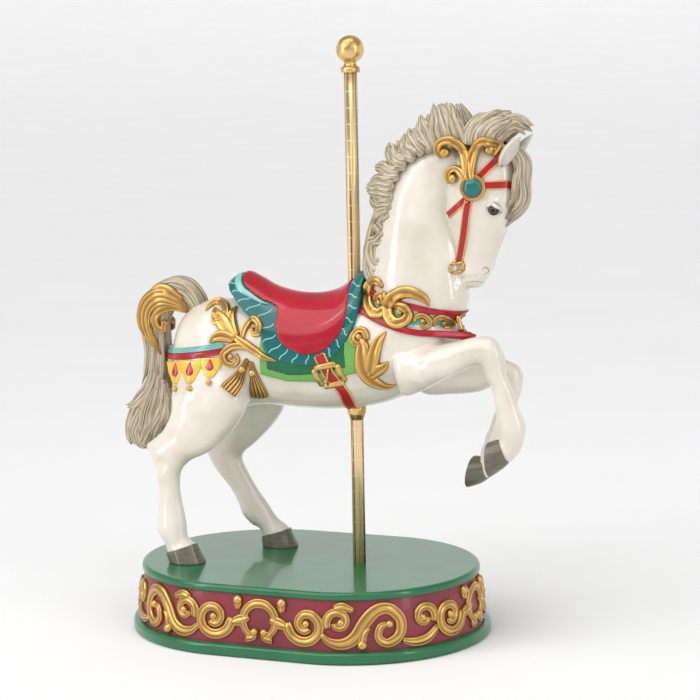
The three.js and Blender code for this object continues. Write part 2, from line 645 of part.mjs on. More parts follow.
// ---- pole, its collar and its finial ------------------------------------------------------------
function pole() {
  const low = LEVEL.top - POLE.socket + GAP;
  const profile = [[0, low], [POLE.radius, low], [POLE.radius, POLE.top], [0, POLE.top]];
  return turned(profile).translate([POLE.x, 0, 0]);
}

function finial() {
  const { ball, centre, neck: neckRadius, collar, collarTall } = FINIAL;
  const low = POLE.top - collarTall + 2;
  const bore = POLE.radius + GAP;
  const profile = [[0, POLE.top + GAP], [bore, POLE.top + GAP], [bore, low]];
  const high = low + collarTall;
  profile.push([collar - 1, low], [collar, low + 1], [collar, high - 1], [collar - 1, high], [neckRadius, high]);
  const start = Math.asin(neckRadius / ball);
  for (let k = 0; k <= 8; k++) {
    const angle = start + ((Math.PI - start) * k) / 8;
    profile.push([k === 8 ? 0 : ball * Math.sin(angle), centre - ball * Math.cos(angle)]);
  }
  return turned(profile).translate([POLE.x, 0, 0]);
}

function bellyCollar() {
  const { radius, low, high } = BELLY_COLLAR;
  const bore = POLE.radius + GAP;
  const profile = [[bore, low], [radius - 1, low], [radius, low + 1], [radius, high], [bore, high]];
  profile.push(profile[0]);
  return turned(profile).translate([POLE.x, 0, 0]);
}

// ---- the whole ----------------------------------------------------------------------------------
function mesh(name, solid, color, roughness, metalness = 0) {
  const made = new THREE.Mesh(geometryOf(solid), new THREE.MeshStandardMaterial({ color, roughness, metalness }));
  made.name = name;
  return made;
}

const group = new THREE.Group();
group.add(mesh("plinth", plinth(), 0x1a8246, 0.35));
group.add(mesh("pole", pole(), 0xb8924a, 0.22, 1));
group.add(mesh("belly_collar", bellyCollar(), 0xc89a4a, 0.3, 1));
group.add(mesh("finial", finial(), 0xc89a4a, 0.25, 1));
group.add(mesh("horse", horse(), 0xe8e2d4, 0.25));

export default group;
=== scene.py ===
import math
import random

import bmesh
import bpy
import numpy as np
from mathutils import Matrix, Vector
from mathutils.bvhtree import BVHTree


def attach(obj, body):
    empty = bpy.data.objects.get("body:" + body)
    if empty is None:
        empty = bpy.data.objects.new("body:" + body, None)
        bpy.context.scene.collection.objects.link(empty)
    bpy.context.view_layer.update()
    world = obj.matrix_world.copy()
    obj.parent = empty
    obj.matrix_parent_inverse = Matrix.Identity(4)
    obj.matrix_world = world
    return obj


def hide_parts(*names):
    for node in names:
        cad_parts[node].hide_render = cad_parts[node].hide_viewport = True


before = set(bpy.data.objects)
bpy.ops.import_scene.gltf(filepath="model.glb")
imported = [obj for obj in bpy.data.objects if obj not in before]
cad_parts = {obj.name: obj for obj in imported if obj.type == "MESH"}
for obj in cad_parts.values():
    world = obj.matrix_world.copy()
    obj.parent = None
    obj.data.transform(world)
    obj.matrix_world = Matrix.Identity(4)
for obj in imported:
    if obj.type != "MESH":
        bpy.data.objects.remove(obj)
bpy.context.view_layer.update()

MM = 0.001

# ---- The horse's body ----------------------------------------------------------------------------
# The body, neck, head and legs are one resin casting. Oval sections are bridged into each limb, the
# limbs are remeshed into one skin, and its muscles, joints and face are then pressed and swelled.

# A section is [front x, front z, back x, back z, half width], in millimetres. After these may come
# the y of its middle, and "egg", the share by which it narrows towards its front.
TORSO = [
    [-167, 332, -163, 288, 18],
    [-153, 366, -148, 254, 36],
    [-128, 383, -123, 244, 46],
    [-92, 388, -90, 252, 50],
    [-50, 385, -50, 262, 49],
    [0, 381, 0, 261, 49],
    [42, 388, 46, 262, 48],
    [85, 400, 95, 270, 47],
    [125, 402, 135, 286, 45],
    [160, 386, 168, 306, 39],
    [184, 366, 190, 330, 24],
]
NECK = [
    [170, 352, 82, 372, 30],
    [200, 384, 80, 418, 39],
    [199, 420, 88, 456, 36],
    [197, 452, 96, 492, 32],
    [192, 482, 108, 528, 28],
    [190, 510, 136, 560, 25],
    [203, 532, 180, 580, 21],
]
HEAD = [
    [236, 578, 200, 572, 18],
    [250, 564, 186, 548, 23, 0, 0.05],
    [258, 541, 178, 520, 27, 0, 0.1],
    [260, 514, 177, 490, 28, 0, 0.15],
    [254, 488, 182, 468, 24, 0, 0.15],
    [244, 463, 187, 452, 19, 0, 0.1],
    [235, 441, 187, 436, 16.5],
    [230, 426, 187, 424, 16],
    [221, 414, 193, 413, 12],
]
LEGS = {
    "near_hind": [
        [-84, 345, -150, 345, 20, -20],
        [-62, 306, -157, 308, 27, -29],
        [-58, 272, -154, 278, 26, -36],
        [-74, 240, -151, 256, 23, -42],
        [-104, 212, -164, 234, 18, -47],
        [-128, 200, -182, 217, 14.5, -50],
        [-139, 188, -174, 199, 12.5, -53],
        [-141.5, 171, -169.5, 174, 11, -54],
        [-140, 155, -169, 151, 11, -54],
        [-137, 142, -170, 134, 12, -55],
        [-133.5, 124, -171, 118, 14, -56],
        [-132.5, 112, -166, 109, 13, -57],
        [-129, 106, -160, 99, 12.5, -57],
        [-122, 101, -157.5, 89, 15, -57],
    ],
    "far_hind": [
        [-84, 345, -150, 345, 20, 20],
        [-48, 304, -152, 306, 27, 29],
        [-42, 264, -140, 270, 25, 36],
        [-60, 233, -136, 242, 21, 43],
        [-88, 206, -146, 216, 16, 47],
        [-108, 188, -154, 193, 13.5, 50],
        [-99, 165, -143, 170, 12, 51],
        [-88, 146, -128, 152, 11.5, 52],
        [-78, 132, -117, 134, 12.5, 53],
        [-71, 121, -110, 116, 14, 53.5],
        [-64, 112, -102, 108, 13.5, 54],
        [-56, 107, -88, 100, 13, 54],
        [-49, 101, -83.5, 90, 15, 54],
    ],
    "near_fore": [
        [122, 362, 130, 300, 18, -24],
        [140, 342, 134, 286, 22, -31],
        [165, 345, 156, 292, 19, -37],
        [195, 351, 188, 309, 16, -40],
        [222, 358, 218, 323, 15, -41],
        [244, 358, 229, 325, 15, -41],
        [256, 342, 234, 317, 12.5, -41],
        [259, 318, 240, 305, 11, -41],
        [267, 300, 245, 287, 10.5, -41],
        [274, 279, 248.5, 264, 11.5, -41],
        [281, 260, 252, 251, 13.5, -41],
        [279, 243, 251, 245, 12.5, -41],
        [273, 228, 250, 243, 12.5, -41],
        [262, 217, 250, 242, 13.5, -41],
    ],
    "far_fore": [
        [120, 356, 126, 296, 18, 24],
        [140, 332, 136, 278, 22, 31],
        [173, 322, 165, 278, 18, 35],
        [205, 322, 200, 282, 15.5, 38],
        [232, 321, 218, 290, 14.5, 38],
        [250, 312, 228, 288, 13, 38],
        [253, 295, 227, 277, 11.5, 38],
        [247, 272, 220, 262, 10.5, 38],
        [239, 254, 214, 246, 10, 38],
        [233, 238, 209, 230, 11.5, 38],
        [227, 220, 203, 218, 13, 38],
        [219, 199, 201, 211, 12, 38],
        [209, 180, 202, 206, 13, 38],
    ],
}


def smooth_rows(rows, steps):
    """The rows with a smooth run of `steps` rows between each two neighbours."""
    rows = [np.array(row, dtype=float) for row in rows]
    last = len(rows) - 1
    out = []
    for i in range(last):
        p, q, r, s = (rows[max(0, min(last, i + k))] for k in (-1, 0, 1, 2))
        square, cube = 2 * p - 5 * q + 4 * r - s, 3 * q - p - 3 * r + s
        for t in (k / steps for k in range(steps)):
            out.append(0.5 * (2 * q + (r - p) * t + square * t * t + cube * t ** 3))
    return out + [rows[last]]


def bridge(bm, rings, ends=(0, -1)):
    """A skin over rings of vertices, each ring bridged to the next and the named ends filled."""
    for one, two in zip(rings, rings[1:]):
        near, both = set(one), set(one + two)
        # a dict keeps the edges in order, so that every run bridges alike
        edges = dict.fromkeys(edge for vert in one + two for edge in vert.link_edges)
        edges = [edge for edge in edges if both.issuperset(edge.verts) and len(edge.link_faces) < 2]
        loops = [edge for edge in edges if (edge.verts[0] in near) == (edge.verts[1] in near)]
        bmesh.ops.bridge_loops(bm, edges=loops)
    for end in ends:
        bmesh.ops.contextual_create(bm, geom=rings[end])


def oval_ring(bm, section, sides):
    """A ring of vertices round one section."""
    fx, fz, bx, bz, width, y, egg = section
    centre = Vector(((fx + bx) / 2, y, (fz + bz) / 2)) * MM
    along = Vector((fx - bx, 0, fz - bz)) * MM / 2
    across = Vector((0, width * MM, 0))
    axes = Matrix((along, across, along.cross(across).normalized())).transposed().to_4x4()
    place = Matrix.Translation(centre) @ axes
    ring = bmesh.ops.create_circle(bm, cap_ends=False, segments=sides, radius=1, matrix=place)["verts"]
    for vert in ring:
        share = (vert.co - centre).dot(along) / along.length_squared
        vert.co.y = centre.y + (vert.co.y - centre.y) * (1 - egg * share)
    return ring


def limb(bm, sections, sides=28, steps=4, dome=0.5):
    """A smooth form over sections, closed by a dome at each end."""
    rows = smooth_rows([(list(section) + [0, 0])[:7] for section in sections], steps)

    def dome_rows(end, inner):
        ex, ez = (end[0] + end[2]) / 2, (end[1] + end[3]) / 2
        ix, iz = (inner[0] + inner[2]) / 2, (inner[1] + inner[3]) / 2
        length = math.hypot(ex - ix, ez - iz)
        half = math.hypot(end[0] - end[2], end[1] - end[3]) / 2
        for lift in (0.4, 0.7, 0.9):
            shrink, push = math.sqrt(1 - lift * lift), half * dome * lift / length
            row = end.copy()
            row[[0, 2]] = ex + (ex - ix) * push + (end[[0, 2]] - ex) * shrink
            row[[1, 3]] = ez + (ez - iz) * push + (end[[1, 3]] - ez) * shrink
            row[4] = end[4] * shrink
            yield row

    rows = list(dome_rows(rows[0], rows[1]))[::-1] + rows + list(dome_rows(rows[-1], rows[-2]))
    bridge(bm, [oval_ring(bm, row, sides) for row in rows])


def piece_of(name, bm, material=None):
    """The bmesh as an object at the origin, its faces turned outwards."""
    bmesh.ops.recalc_face_normals(bm, faces=bm.faces)
    mesh = bpy.data.meshes.new(name)
    bm.to_mesh(mesh)
    bm.free()
    piece = bpy.data.objects.new(name, mesh)
    bpy.context.scene.collection.objects.link(piece)
    mesh.shade_smooth()
    if material:
        mesh.materials.append(material)
    return piece


def settle(piece):
    """Applies the piece's modifiers to its mesh."""
    graph = bpy.context.evaluated_depsgraph_get()
    settled = bpy.data.meshes.new_from_object(piece.evaluated_get(graph))
    piece.modifiers.clear()
    piece.data = settled
    settled.shade_smooth()


def remesh(piece, voxel, rounds, factor=0.5):
    """One skin of even faces over all the piece's forms, then rounded off."""
    skin = piece.modifiers.new("one_skin", "REMESH")
    skin.mode = "VOXEL"
    skin.voxel_size = voxel * MM
    soft = piece.modifiers.new("soften", "SMOOTH")
    soft.factor = factor
    soft.iterations = rounds
    settle(piece)


# Each press or swell: [x, y, z, radius, height], in millimetres. A height below 0 is a hollow.
# FORMS are made on both sides of the horse, at y and at -y. LEG_FORMS belong to one leg each.
FORMS = {
    "cheek": [208, 26, 500, 26, 3.0],
    "eye_socket": [240, 20, 498, 11, -2.6],
    "brow": [238, 22, 508, 9, 2.0],
    "cheek_hollow": [222, 24, 466, 16, -1.6],
    "nose_wing": [229, 14, 433, 7, 1.8],
    "nostril": [226, 15, 427, 4.5, -3.2],
    "mouth_corner": [200, 15, 420, 5, -1.4],
    "mouth": [208, 15, 421, 5, -1.4],
    "mouth_front": [216, 14, 422, 5, -1.2],
    "chin": [196, 12, 412, 9, 1.5],
    "jaw_hollow": [196, 20, 430, 14, -1.2],
    "shoulder": [150, 42, 380, 42, 4.0],
    "shoulder_blade": [120, 46, 330, 40, 4.0],
    "breast_hollow": [150, 26, 300, 16, -3.0],
    "breast": [170, 30, 380, 24, 2.5],
    "neck": [130, 30, 470, 40, 2.0],
    "throat_groove": [165, 26, 440, 26, -2.0],
    "croup": [-110, 46, 350, 45, 3.0],
    "flank_hollow": [-40, 46, 290, 40, -3.0],
    "stifle": [-82, 50, 280, 30, 3.0],
}
LEG_FORMS = {
    "near_thigh": [-150, -60, 262, 38, 4.0],
    "near_stifle_hollow": [-96, -62, 240, 30, -2.0],
    "near_hock": [-182, -51, 214, 9, 3.0],
    "near_hock_hollow": [-160, -62, 196, 12, -2.5],
    "near_hind_cannon": [-162, -64, 165, 14, -1.5],
    "near_hind_fetlock": [-168, -55, 118, 9, 2.0],
    "far_thigh": [-120, 60, 262, 34, 3.5],
    "far_hock": [-148, 51, 192, 9, 2.5],
    "far_hind_fetlock": [-96, 53, 104, 9, 2.0],
    "near_forearm": [180, -54, 325, 26, 3.0],
    "near_elbow_hollow": [150, -50, 296, 18, -2.5],
    "near_knee": [250, -52, 344, 14, 2.0],
    "near_knee_fold": [240, -41, 326, 10, -2.0],
    "near_fore_cannon": [245, -52, 300, 14, -1.5],
    "near_fore_fetlock": [252, -41, 256, 9, 2.0],
    "far_forearm": [176, 50, 300, 24, 3.0],
    "far_knee": [240, 38, 306, 12, 2.0],
    "far_fore_fetlock": [208, 38, 232, 9, 2.0],
}


def mould(piece, forms):
    """Swells and presses the skin along its normals around each form's centre."""
    mesh = piece.data
    count = len(mesh.vertices)
    co = np.empty(count * 3)
    mesh.vertices.foreach_get("co", co)
    co = co.reshape(-1, 3)
    normal = np.empty(count * 3)
    mesh.vertex_normals.foreach_get("vector", normal)
    normal = normal.reshape(-1, 3)
    moved = co.copy()
    for x, y, z, radius, height in forms:
        gap = np.linalg.norm(co - np.array((x, y, z)) * MM, axis=1) / (radius * MM)
        near = gap < 1
        moved[near] += normal[near] * ((1 - gap[near] ** 2) ** 2 * height * MM)[:, None]
    mesh.vertices.foreach_set("co", moved.ravel())
    mesh.update()


bm = bmesh.new()
limb(bm, TORSO, dome=0.5)
limb(bm, NECK, dome=0.2)
limb(bm, HEAD, dome=0.5)
for leg in LEGS.values():
    limb(bm, leg, dome=0.3)
body = piece_of("horse_body", bm)
remesh(body, voxel=2.1, rounds=12)
both_sides = [[x, side * y, *rest] for x, y, *rest in FORMS.values() for side in (-1, 1)]
mould(body, both_sides + list(LEG_FORMS.values()))


def material_of(name):
    """A new node material and its shader; the nodes are added by the finish that calls this."""
    finish = bpy.data.materials.new(name)
    finish.use_nodes = True
    return finish, finish.node_tree, finish.node_tree.nodes["Principled BSDF"]


def add(tree, kind, **values):
    """A node with its settings; a name with a capital letter is an input socket."""
    node = tree.nodes.new(kind)
    for key, value in values.items():
        if key[0].isupper():
            node.inputs[key.replace("_", " ")].default_value = value
        else:
            setattr(node, key, value)
    return node


def ramp(tree, source, stops):
    """A colour ramp read at the source's value; its stops are (place, colour)."""
    node = add(tree, "ShaderNodeValToRGB")
    while len(node.color_ramp.elements) < len(stops):
        node.color_ramp.elements.new(0.5)
    for element, (place, colour) in zip(node.color_ramp.elements, stops):
        element.position = place
        element.color = (*colour, 1)
    tree.links.new(source, node.inputs["Fac"])
    return node.outputs["Color"]


def mixed(tree, kind, share, one, two):
    """Two colours mixed; each of the three values may be a socket, a colour or a number."""
    node = add(tree, "ShaderNodeMix", data_type="RGBA", blend_type=kind)
    for socket, value in zip((node.inputs["Factor"], node.inputs[6], node.inputs[7]), (share, one, two)):
        if isinstance(value, bpy.types.NodeSocket):
            tree.links.new(value, socket)
        elif isinstance(value, tuple):
            socket.default_value = (*value, 1)
        else:
            socket.default_value = value
    return node.outputs[2]


def noise(tree, scale, detail=3, stretch=(1, 1, 1)):
    """A noise fixed to the object's own coordinates, which `stretch` scales."""
    place = add(tree, "ShaderNodeTexCoord").outputs["Object"]
    turn = add(tree, "ShaderNodeMapping", Scale=stretch)
    tree.links.new(place, turn.inputs["Vector"])
    node = add(tree, "ShaderNodeTexNoise", Scale=scale, Detail=detail)
    tree.links.new(turn.outputs["Vector"], node.inputs["Vector"])
    return node.outputs["Fac"]


def bump(tree, shader, height, distance, strength=0.4):
    """A fine relief in the surface, `distance` deep in millimetres."""
    node = add(tree, "ShaderNodeBump", Distance=distance * MM, Strength=strength)
    tree.links.new(height, node.inputs["Height"])
    tree.links.new(node.outputs["Normal"], shader.inputs["Normal"])


def lacquer(name, light, dark, roughness=0.3, coat=0.6, hollow=None, specular=0.5):
    """Brushed enamel under clear lacquer: cloudy colour, a faint brush texture, darker wash in hollows."""
    finish, tree, shader = material_of(name)
    cloud = ramp(tree, noise(tree, 22, 4), [(0.35, light), (0.72, dark)])
    if hollow:
        crease = add(tree, "ShaderNodeNewGeometry").outputs["Pointiness"]
        wash = ramp(tree, crease, [(0.40, (1, 1, 1)), (0.49, (0, 0, 0))])
        cloud = mixed(tree, "MIX", wash, cloud, hollow)
    tree.links.new(cloud, shader.inputs["Base Color"])
    bump(tree, shader, noise(tree, 260, 2), 0.12, 0.25)
    shader.inputs["Specular IOR Level"].default_value = specular
    shader.inputs["Roughness"].default_value = roughness
    shader.inputs["Coat Weight"].default_value = coat
    shader.inputs["Coat Roughness"].default_value = 0.06
    return finish


IVORY, IVORY_SHADE, IVORY_WASH = (0.76, 0.71, 0.62), (0.64, 0.575, 0.475), (0.40, 0.325, 0.235)
ivory = lacquer("ivory_lacquer", IVORY, IVORY_SHADE, 0.28, 1.0, IVORY_WASH)
body.data.materials.append(ivory)
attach(body, "root")
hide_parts("horse")


# ---- Hooves and eyes ------------------------------------------------------------------------------
# The hooves are cast with the legs and painted dark horn. The eyes are gloss beads of brown enamel
# with a black pupil, each set in a raised lid.
HOOVES = [
    [
        [-121, 103, -159, 90, 15, -57], [-118, 97, -158, 87, 16, -57],
        [-111, 83, -155, 80.5, 18.5, -57], [-110.6, 79.6, -154, 79.6, 18.5, -57],
    ],
    [
        [-48, 102, -85, 91, 15, 54], [-46, 96, -85, 88, 16, 54], [-40, 83, -84, 80.5, 18, 54],
        [-39.6, 79.6, -83, 79.6, 18, 54],
    ],
    [
        [263, 219, 253, 243, 14, -41], [255, 211, 247, 243, 15.5, -41], [241, 201, 238, 240, 17, -41],
        [239, 200.5, 236.5, 239, 16.5, -41],
    ],
    [
        [210, 181, 205, 206, 14, 38], [201, 175, 199, 207, 15.5, 38], [187, 170, 193, 207, 17, 38],
        [184.5, 170.5, 191, 205.5, 16.5, 38],
    ],
]
horn, tree, shader = material_of("hoof_horn")
tint = ramp(tree, noise(tree, 90, 4, (1, 1, 5)), [(0.3, (0.085, 0.078, 0.05)), (0.7, (0.15, 0.135, 0.09))])
tree.links.new(tint, shader.inputs["Base Color"])
bump(tree, shader, noise(tree, 160, 3, (1, 1, 6)), 0.2, 0.4)
shader.inputs["Roughness"].default_value = 0.38
shader.inputs["Coat Weight"].default_value = 0.5
bm = bmesh.new()
for hoof in HOOVES:
    bridge(bm, [oval_ring(bm, (list(section) + [0])[:7], 40) for section in smooth_rows(hoof, 5)])
hooves = piece_of("hooves", bm, horn)
rim = hooves.modifiers.new("rim", "BEVEL")
rim.width = 1.2 * MM
rim.segments = 3
rim.limit_method = "ANGLE"
settle(hooves)
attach(hooves, "root")
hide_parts("horse")

EYE = {"x": 240, "y": 21.9, "z": 498, "radius": 6.1, "pupil_forward": 0.6}
bead, tree, shader = material_of("eye_enamel")
place = add(tree, "ShaderNodeTexCoord").outputs["Object"]
# the rings of colour run round a line across the head, so both eyes read the same x and z
apart = add(tree, "ShaderNodeSeparateXYZ")
tree.links.new(place, apart.inputs[0])
flat = add(tree, "ShaderNodeCombineXYZ")
tree.links.new(apart.outputs["X"], flat.inputs["X"])
tree.links.new(apart.outputs["Z"], flat.inputs["Z"])
gap = add(tree, "ShaderNodeVectorMath", operation="DISTANCE")
tree.links.new(flat.outputs[0], gap.inputs[0])
gap.inputs[1].default_value = ((EYE["x"] + EYE["pupil_forward"]) * MM, 0, EYE["z"] * MM)
# on the ramp, 1 is ten millimetres from the middle of the pupil
scaled = add(tree, "ShaderNodeMath", operation="MULTIPLY")
tree.links.new(gap.outputs["Value"], scaled.inputs[0])
scaled.inputs[1].default_value = 100
PUPIL, EYE_RIM = (0.004, 0.003, 0.002), (0.012, 0.007, 0.004)
IRIS, IRIS_EDGE = (0.15, 0.055, 0.012), (0.08, 0.03, 0.008)
eye_rings = [(0.0, PUPIL), (0.22, PUPIL), (0.27, IRIS), (0.38, IRIS_EDGE), (0.45, EYE_RIM)]
tint = ramp(tree, scaled.outputs[0], eye_rings)
tree.links.new(tint, shader.inputs["Base Color"])
shader.inputs["Roughness"].default_value = 0.12
shader.inputs["Specular IOR Level"].default_value = 0.3
shader.inputs["Coat Weight"].default_value = 0.3
bm = bmesh.new()
for side in (-1, 1):
    spot = Matrix.Translation(Vector((EYE["x"], side * EYE["y"], EYE["z"])) * MM)
    bmesh.ops.create_uvsphere(bm, u_segments=32, v_segments=20, radius=EYE["radius"] * MM, matrix=spot)
eyes = piece_of("eyes", bm, bead)
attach(eyes, "root")
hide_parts("horse")


# ---- Saddle, its border and the saddle cloth ------------------------------------------------------
# Three layers cast over the back: the red padded seat and flaps, the teal border round them with
# its rolled light edge, and the green cloth under both. Each is cut to its side outline.
SADDLE = [
    [-98, 402, -92, 330, 36, 0, 0.1],
    [-87, 415, -84, 322, 45, 0, 0.12],
    [-73, 420.5, -68, 316, 50, 0, 0.14],
    [-56, 414, -54, 316, 51, 0, 0.2],
    [-36, 404, -34, 316, 51, 0, 0.24],
    [-8, 397.5, -8, 314, 51, 0, 0.26],
    [22, 397.5, 22, 314, 51, 0, 0.26],
    [46, 404, 46, 316, 50, 0, 0.24],
    [62, 415, 64, 322, 47, 0, 0.2],
    [76, 428, 82, 332, 43, 0, 0.18],
    [87, 432, 95, 350, 36, 0, 0.1],
]
FLAP = [
    [-78, 445], [-71, 418], [-62, 405], [-43, 392], [-21, 383], [-16, 361], [-8, 344], [6, 336], [21, 332.5],
    [38, 335], [51, 342.5], [62, 356], [68, 371], [69, 390], [66, 405], [65, 416], [68, 445],
]
BORDER = [
    [-112, 445], [-99, 415], [-86, 404], [-73, 393], [-55, 376], [-38, 361], [-31, 337], [-18, 325], [4, 320],
    [27, 318.5], [53, 328.5], [66, 342], [76, 358], [82, 385], [83, 410], [90, 445],
]
CLOTH = [[-36, 366], [-36, 306], [-4, 299], [32, 300], [86, 313], [84, 356]]
CLOTH_FIELD = [[-28, 354], [-28, 312.5], [0, 306.5], [32, 308], [71, 318], [70, 348]]
# how far each layer stands above the horse's back
LAYER = {"seat": 6.5, "border": 4.5, "cloth": 3.0, "field": 3.5}
# half the width of the block that cuts a layer to its outline
HALF_CUT = 90


def grown_rows(rows, lift):
    """The sections, larger by `lift` all round."""
    return [[row[0], row[1] + lift, row[2], row[3] - lift, row[4] + lift] + list(row[5:]) for row in rows]


def cut_to(piece, outline):
    """Keeps what lies inside a side outline, across the whole width of the horse."""
    bm = bmesh.new()
    face = bm.faces.new([bm.verts.new((x * MM, -HALF_CUT * MM, z * MM)) for x, z in outline])
    across = bmesh.ops.extrude_face_region(bm, geom=[face])["geom"]
    moved = [part for part in across if isinstance(part, bmesh.types.BMVert)]
    bmesh.ops.translate(bm, verts=moved, vec=(0, 2 * HALF_CUT * MM, 0))
    block = piece_of("block", bm)
    cut = piece.modifiers.new("cut", "BOOLEAN")
    cut.operation = "INTERSECT"
    cut.solver = "MANIFOLD"
    cut.object = block
    settle(piece)
    bpy.data.objects.remove(block)


def layer(name, outline, lift, finish, saddle_lift=None, voxel=1.5, rounds=4):
    """A layer over the back, `lift` above it, cut to its outline and rounded off."""
    bm = bmesh.new()
    limb(bm, grown_rows(TORSO, lift), sides=64)
    if saddle_lift is not None:
        limb(bm, grown_rows(SADDLE, saddle_lift), sides=64)
    piece = piece_of(name, bm, finish)
    remesh(piece, voxel=1.6, rounds=6)
    cut_to(piece, smooth_rows(outline, 6) if len(outline) > 8 else outline)
    remesh(piece, voxel, rounds)
    piece.data.materials.clear()
    piece.data.materials.append(finish)
    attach(piece, "root")
    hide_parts("horse")
    return piece


RED = (0.45, 0.004, 0.018)
RED_WASH = (0.12, 0.002, 0.006)
red_enamel = lacquer("red_enamel", RED, (0.33, 0.003, 0.012), 0.3, 0.55, RED_WASH, 0.2)
teal_enamel = lacquer("teal_enamel", (0.002, 0.13, 0.132), (0.002, 0.095, 0.098), 0.3, 0.55, None, 0.2)
green_dark = lacquer("green_dark_enamel", (0.002, 0.14, 0.05), (0.002, 0.10, 0.035), 0.3, 0.5, None, 0.2)
green_light = lacquer("green_light_enamel", (0.16, 0.40, 0.085), (0.12, 0.33, 0.065), 0.3, 0.5, None, 0.2)
seat = layer("saddle_seat", FLAP, LAYER["seat"], red_enamel, 0.5)
border = layer("saddle_border", BORDER, LAYER["border"], teal_enamel, -1.5)
cloth = layer("saddle_cloth", CLOTH, LAYER["cloth"], green_light)
field = layer("saddle_cloth_field", CLOTH_FIELD, LAYER["field"], green_dark)


# ---- Straps ---------------------------------------------------------------------------------------
# Girth, breast collar, breeching and bridle are raised straps: red enamel with gold edges, and teal
# on the collar and breeching. The girth passes under the belly, the collar round the chest and the
# breeching round the rump.
def skin_of(*pieces):
    """All the pieces' faces as one surface to lay things on."""
    bm = bmesh.new()
    for piece in pieces:
        bm.from_mesh(piece.data)
    tree = BVHTree.FromBMesh(bm)
    bm.free()
    return tree


STREAKS = {"across": 1.1, "along": 4}


def carving():
    """A new bmesh that keeps a tone and a grain at each vertex, for the finish to read."""
    bm = bmesh.new()
    bm.verts.layers.float.new("tone")
    bm.verts.layers.float_vector.new("grain")
    return bm


def sweep(bm, stations, profile, seed=None):
    """A closed form swept through stations: [centre, along, up, half width, rise]. The profile's
    points are [across, height, tone]. With a seed, the grain is kept as well: the place across,
    the place along, and the seed, scaled for a noise that draws a few streaks over each lock."""
    tones = bm.verts.layers.float["tone"]
    grain = bm.verts.layers.float_vector["grain"]
    last, sides = len(stations) - 1, len(profile)
    made = bmesh.ops.create_grid(bm, x_segments=last, y_segments=sides, size=1)["verts"]
    for vert in made:
        i = round((vert.co.x + 1) / 2 * last)
        j = round((vert.co.y + 1) / 2 * sides) % sides
        centre, along, up, half, rise = stations[i]
        across, height, tone = profile[j]
        vert.co = centre + along.cross(up) * (across * half) + up * (height * rise)
        vert[tones] = tone
        if seed is not None:
            vert[grain] = (across * half / MM * STREAKS["across"], STREAKS["along"] * i / last, seed)
    bmesh.ops.remove_doubles(bm, verts=made, dist=1e-7)


def stations_of(spots, halves, rises, tips=(0, 0)):
    """Stations along laid points; each end is rounded down over the share of the length in tips."""
    count = len(spots)
    out = []
    for i, (point, up) in enumerate(spots):
        along = (spots[min(i + 1, count - 1)][0] - spots[max(i - 1, 0)][0]).normalized()
        up = (up - along * up.dot(along)).normalized()
        share = i / (count - 1)
        end = 1.0
        if tips[0]:
            end = min(end, share / tips[0])
        if tips[1]:
            end = min(end, (1 - share) / tips[1])
        end = math.sqrt(max(0.0, 1 - (1 - min(1.0, end)) ** 2))
        if i in (0, count - 1):
            end = 0.0
        rise = rises[i] * MM * (0.25 + 0.75 * end if end else 0)
        out.append([point, along, up, halves[i] * MM * end, rise])
    return out


def strap_profile():
    """A flat strap with a raised bead along each edge."""
    top = [
        [-1, 0.1, 1], [-0.98, 0.8, 1], [-0.9, 1.05, 1], [-0.78, 1.0, 1],
        [-0.7, 0.72, 0.5], [-0.6, 0.7, 0], [-0.3, 0.78, 0], [0, 0.8, 0],
    ]
    full = top + [[-across, height, tone] for across, height, tone in reversed(top[:-1])]
    return full + [[0.8, -0.8, 1], [0, -0.9, 1], [-0.8, -0.8, 1]]


# rays are cast at the horse from this far out: from all round, and from one side
FAR_OUT = 400
SIDE_OUT = 300


def around(skin, centre, plane, line, angles):
    """Points right round the skin. plane "level" turns about Z and reads z from the line at x;
    plane "upright" turns about X and reads x from the line at z. Millimetres."""
    spots = []
    rows = smooth_rows(line, 8)
    keys, values = ([row[0] for row in rows], [row[1] for row in rows])
    if plane == "upright":
        keys, values = values, keys
    if keys[0] > keys[-1]:
        keys, values = keys[::-1], values[::-1]
    other = float(np.interp(centre[0 if plane == "level" else 1], keys, values))
    for angle in angles:
        turn = math.radians(angle)
        for _ in range(4):
            if plane == "level":
                start = Vector((centre[0], 0, other)) * MM
                aim = Vector((math.cos(turn), math.sin(turn), 0))
            else:
                start = Vector((other, 0, centre[1])) * MM
                aim = Vector((0, math.sin(turn), -math.cos(turn)))
            hit, normal, _, _ = skin.ray_cast(start + aim * (FAR_OUT * MM), -aim)
            other = float(np.interp((hit.x if plane == "level" else hit.z) / MM, keys, values))
        spots.append((hit, normal))
    return spots


def evened(spots, rounds=3):
    """Laid points smoothed along their line, their two ends kept."""
    for _ in range(rounds):
        middle = []
        for a, b, c in zip(spots, spots[1:], spots[2:]):
            middle.append(((a[0] + b[0] * 2 + c[0]) / 4, (a[1] + b[1] * 2 + c[1]).normalized()))
        spots = [spots[0]] + middle + [spots[-1]]
    return spots


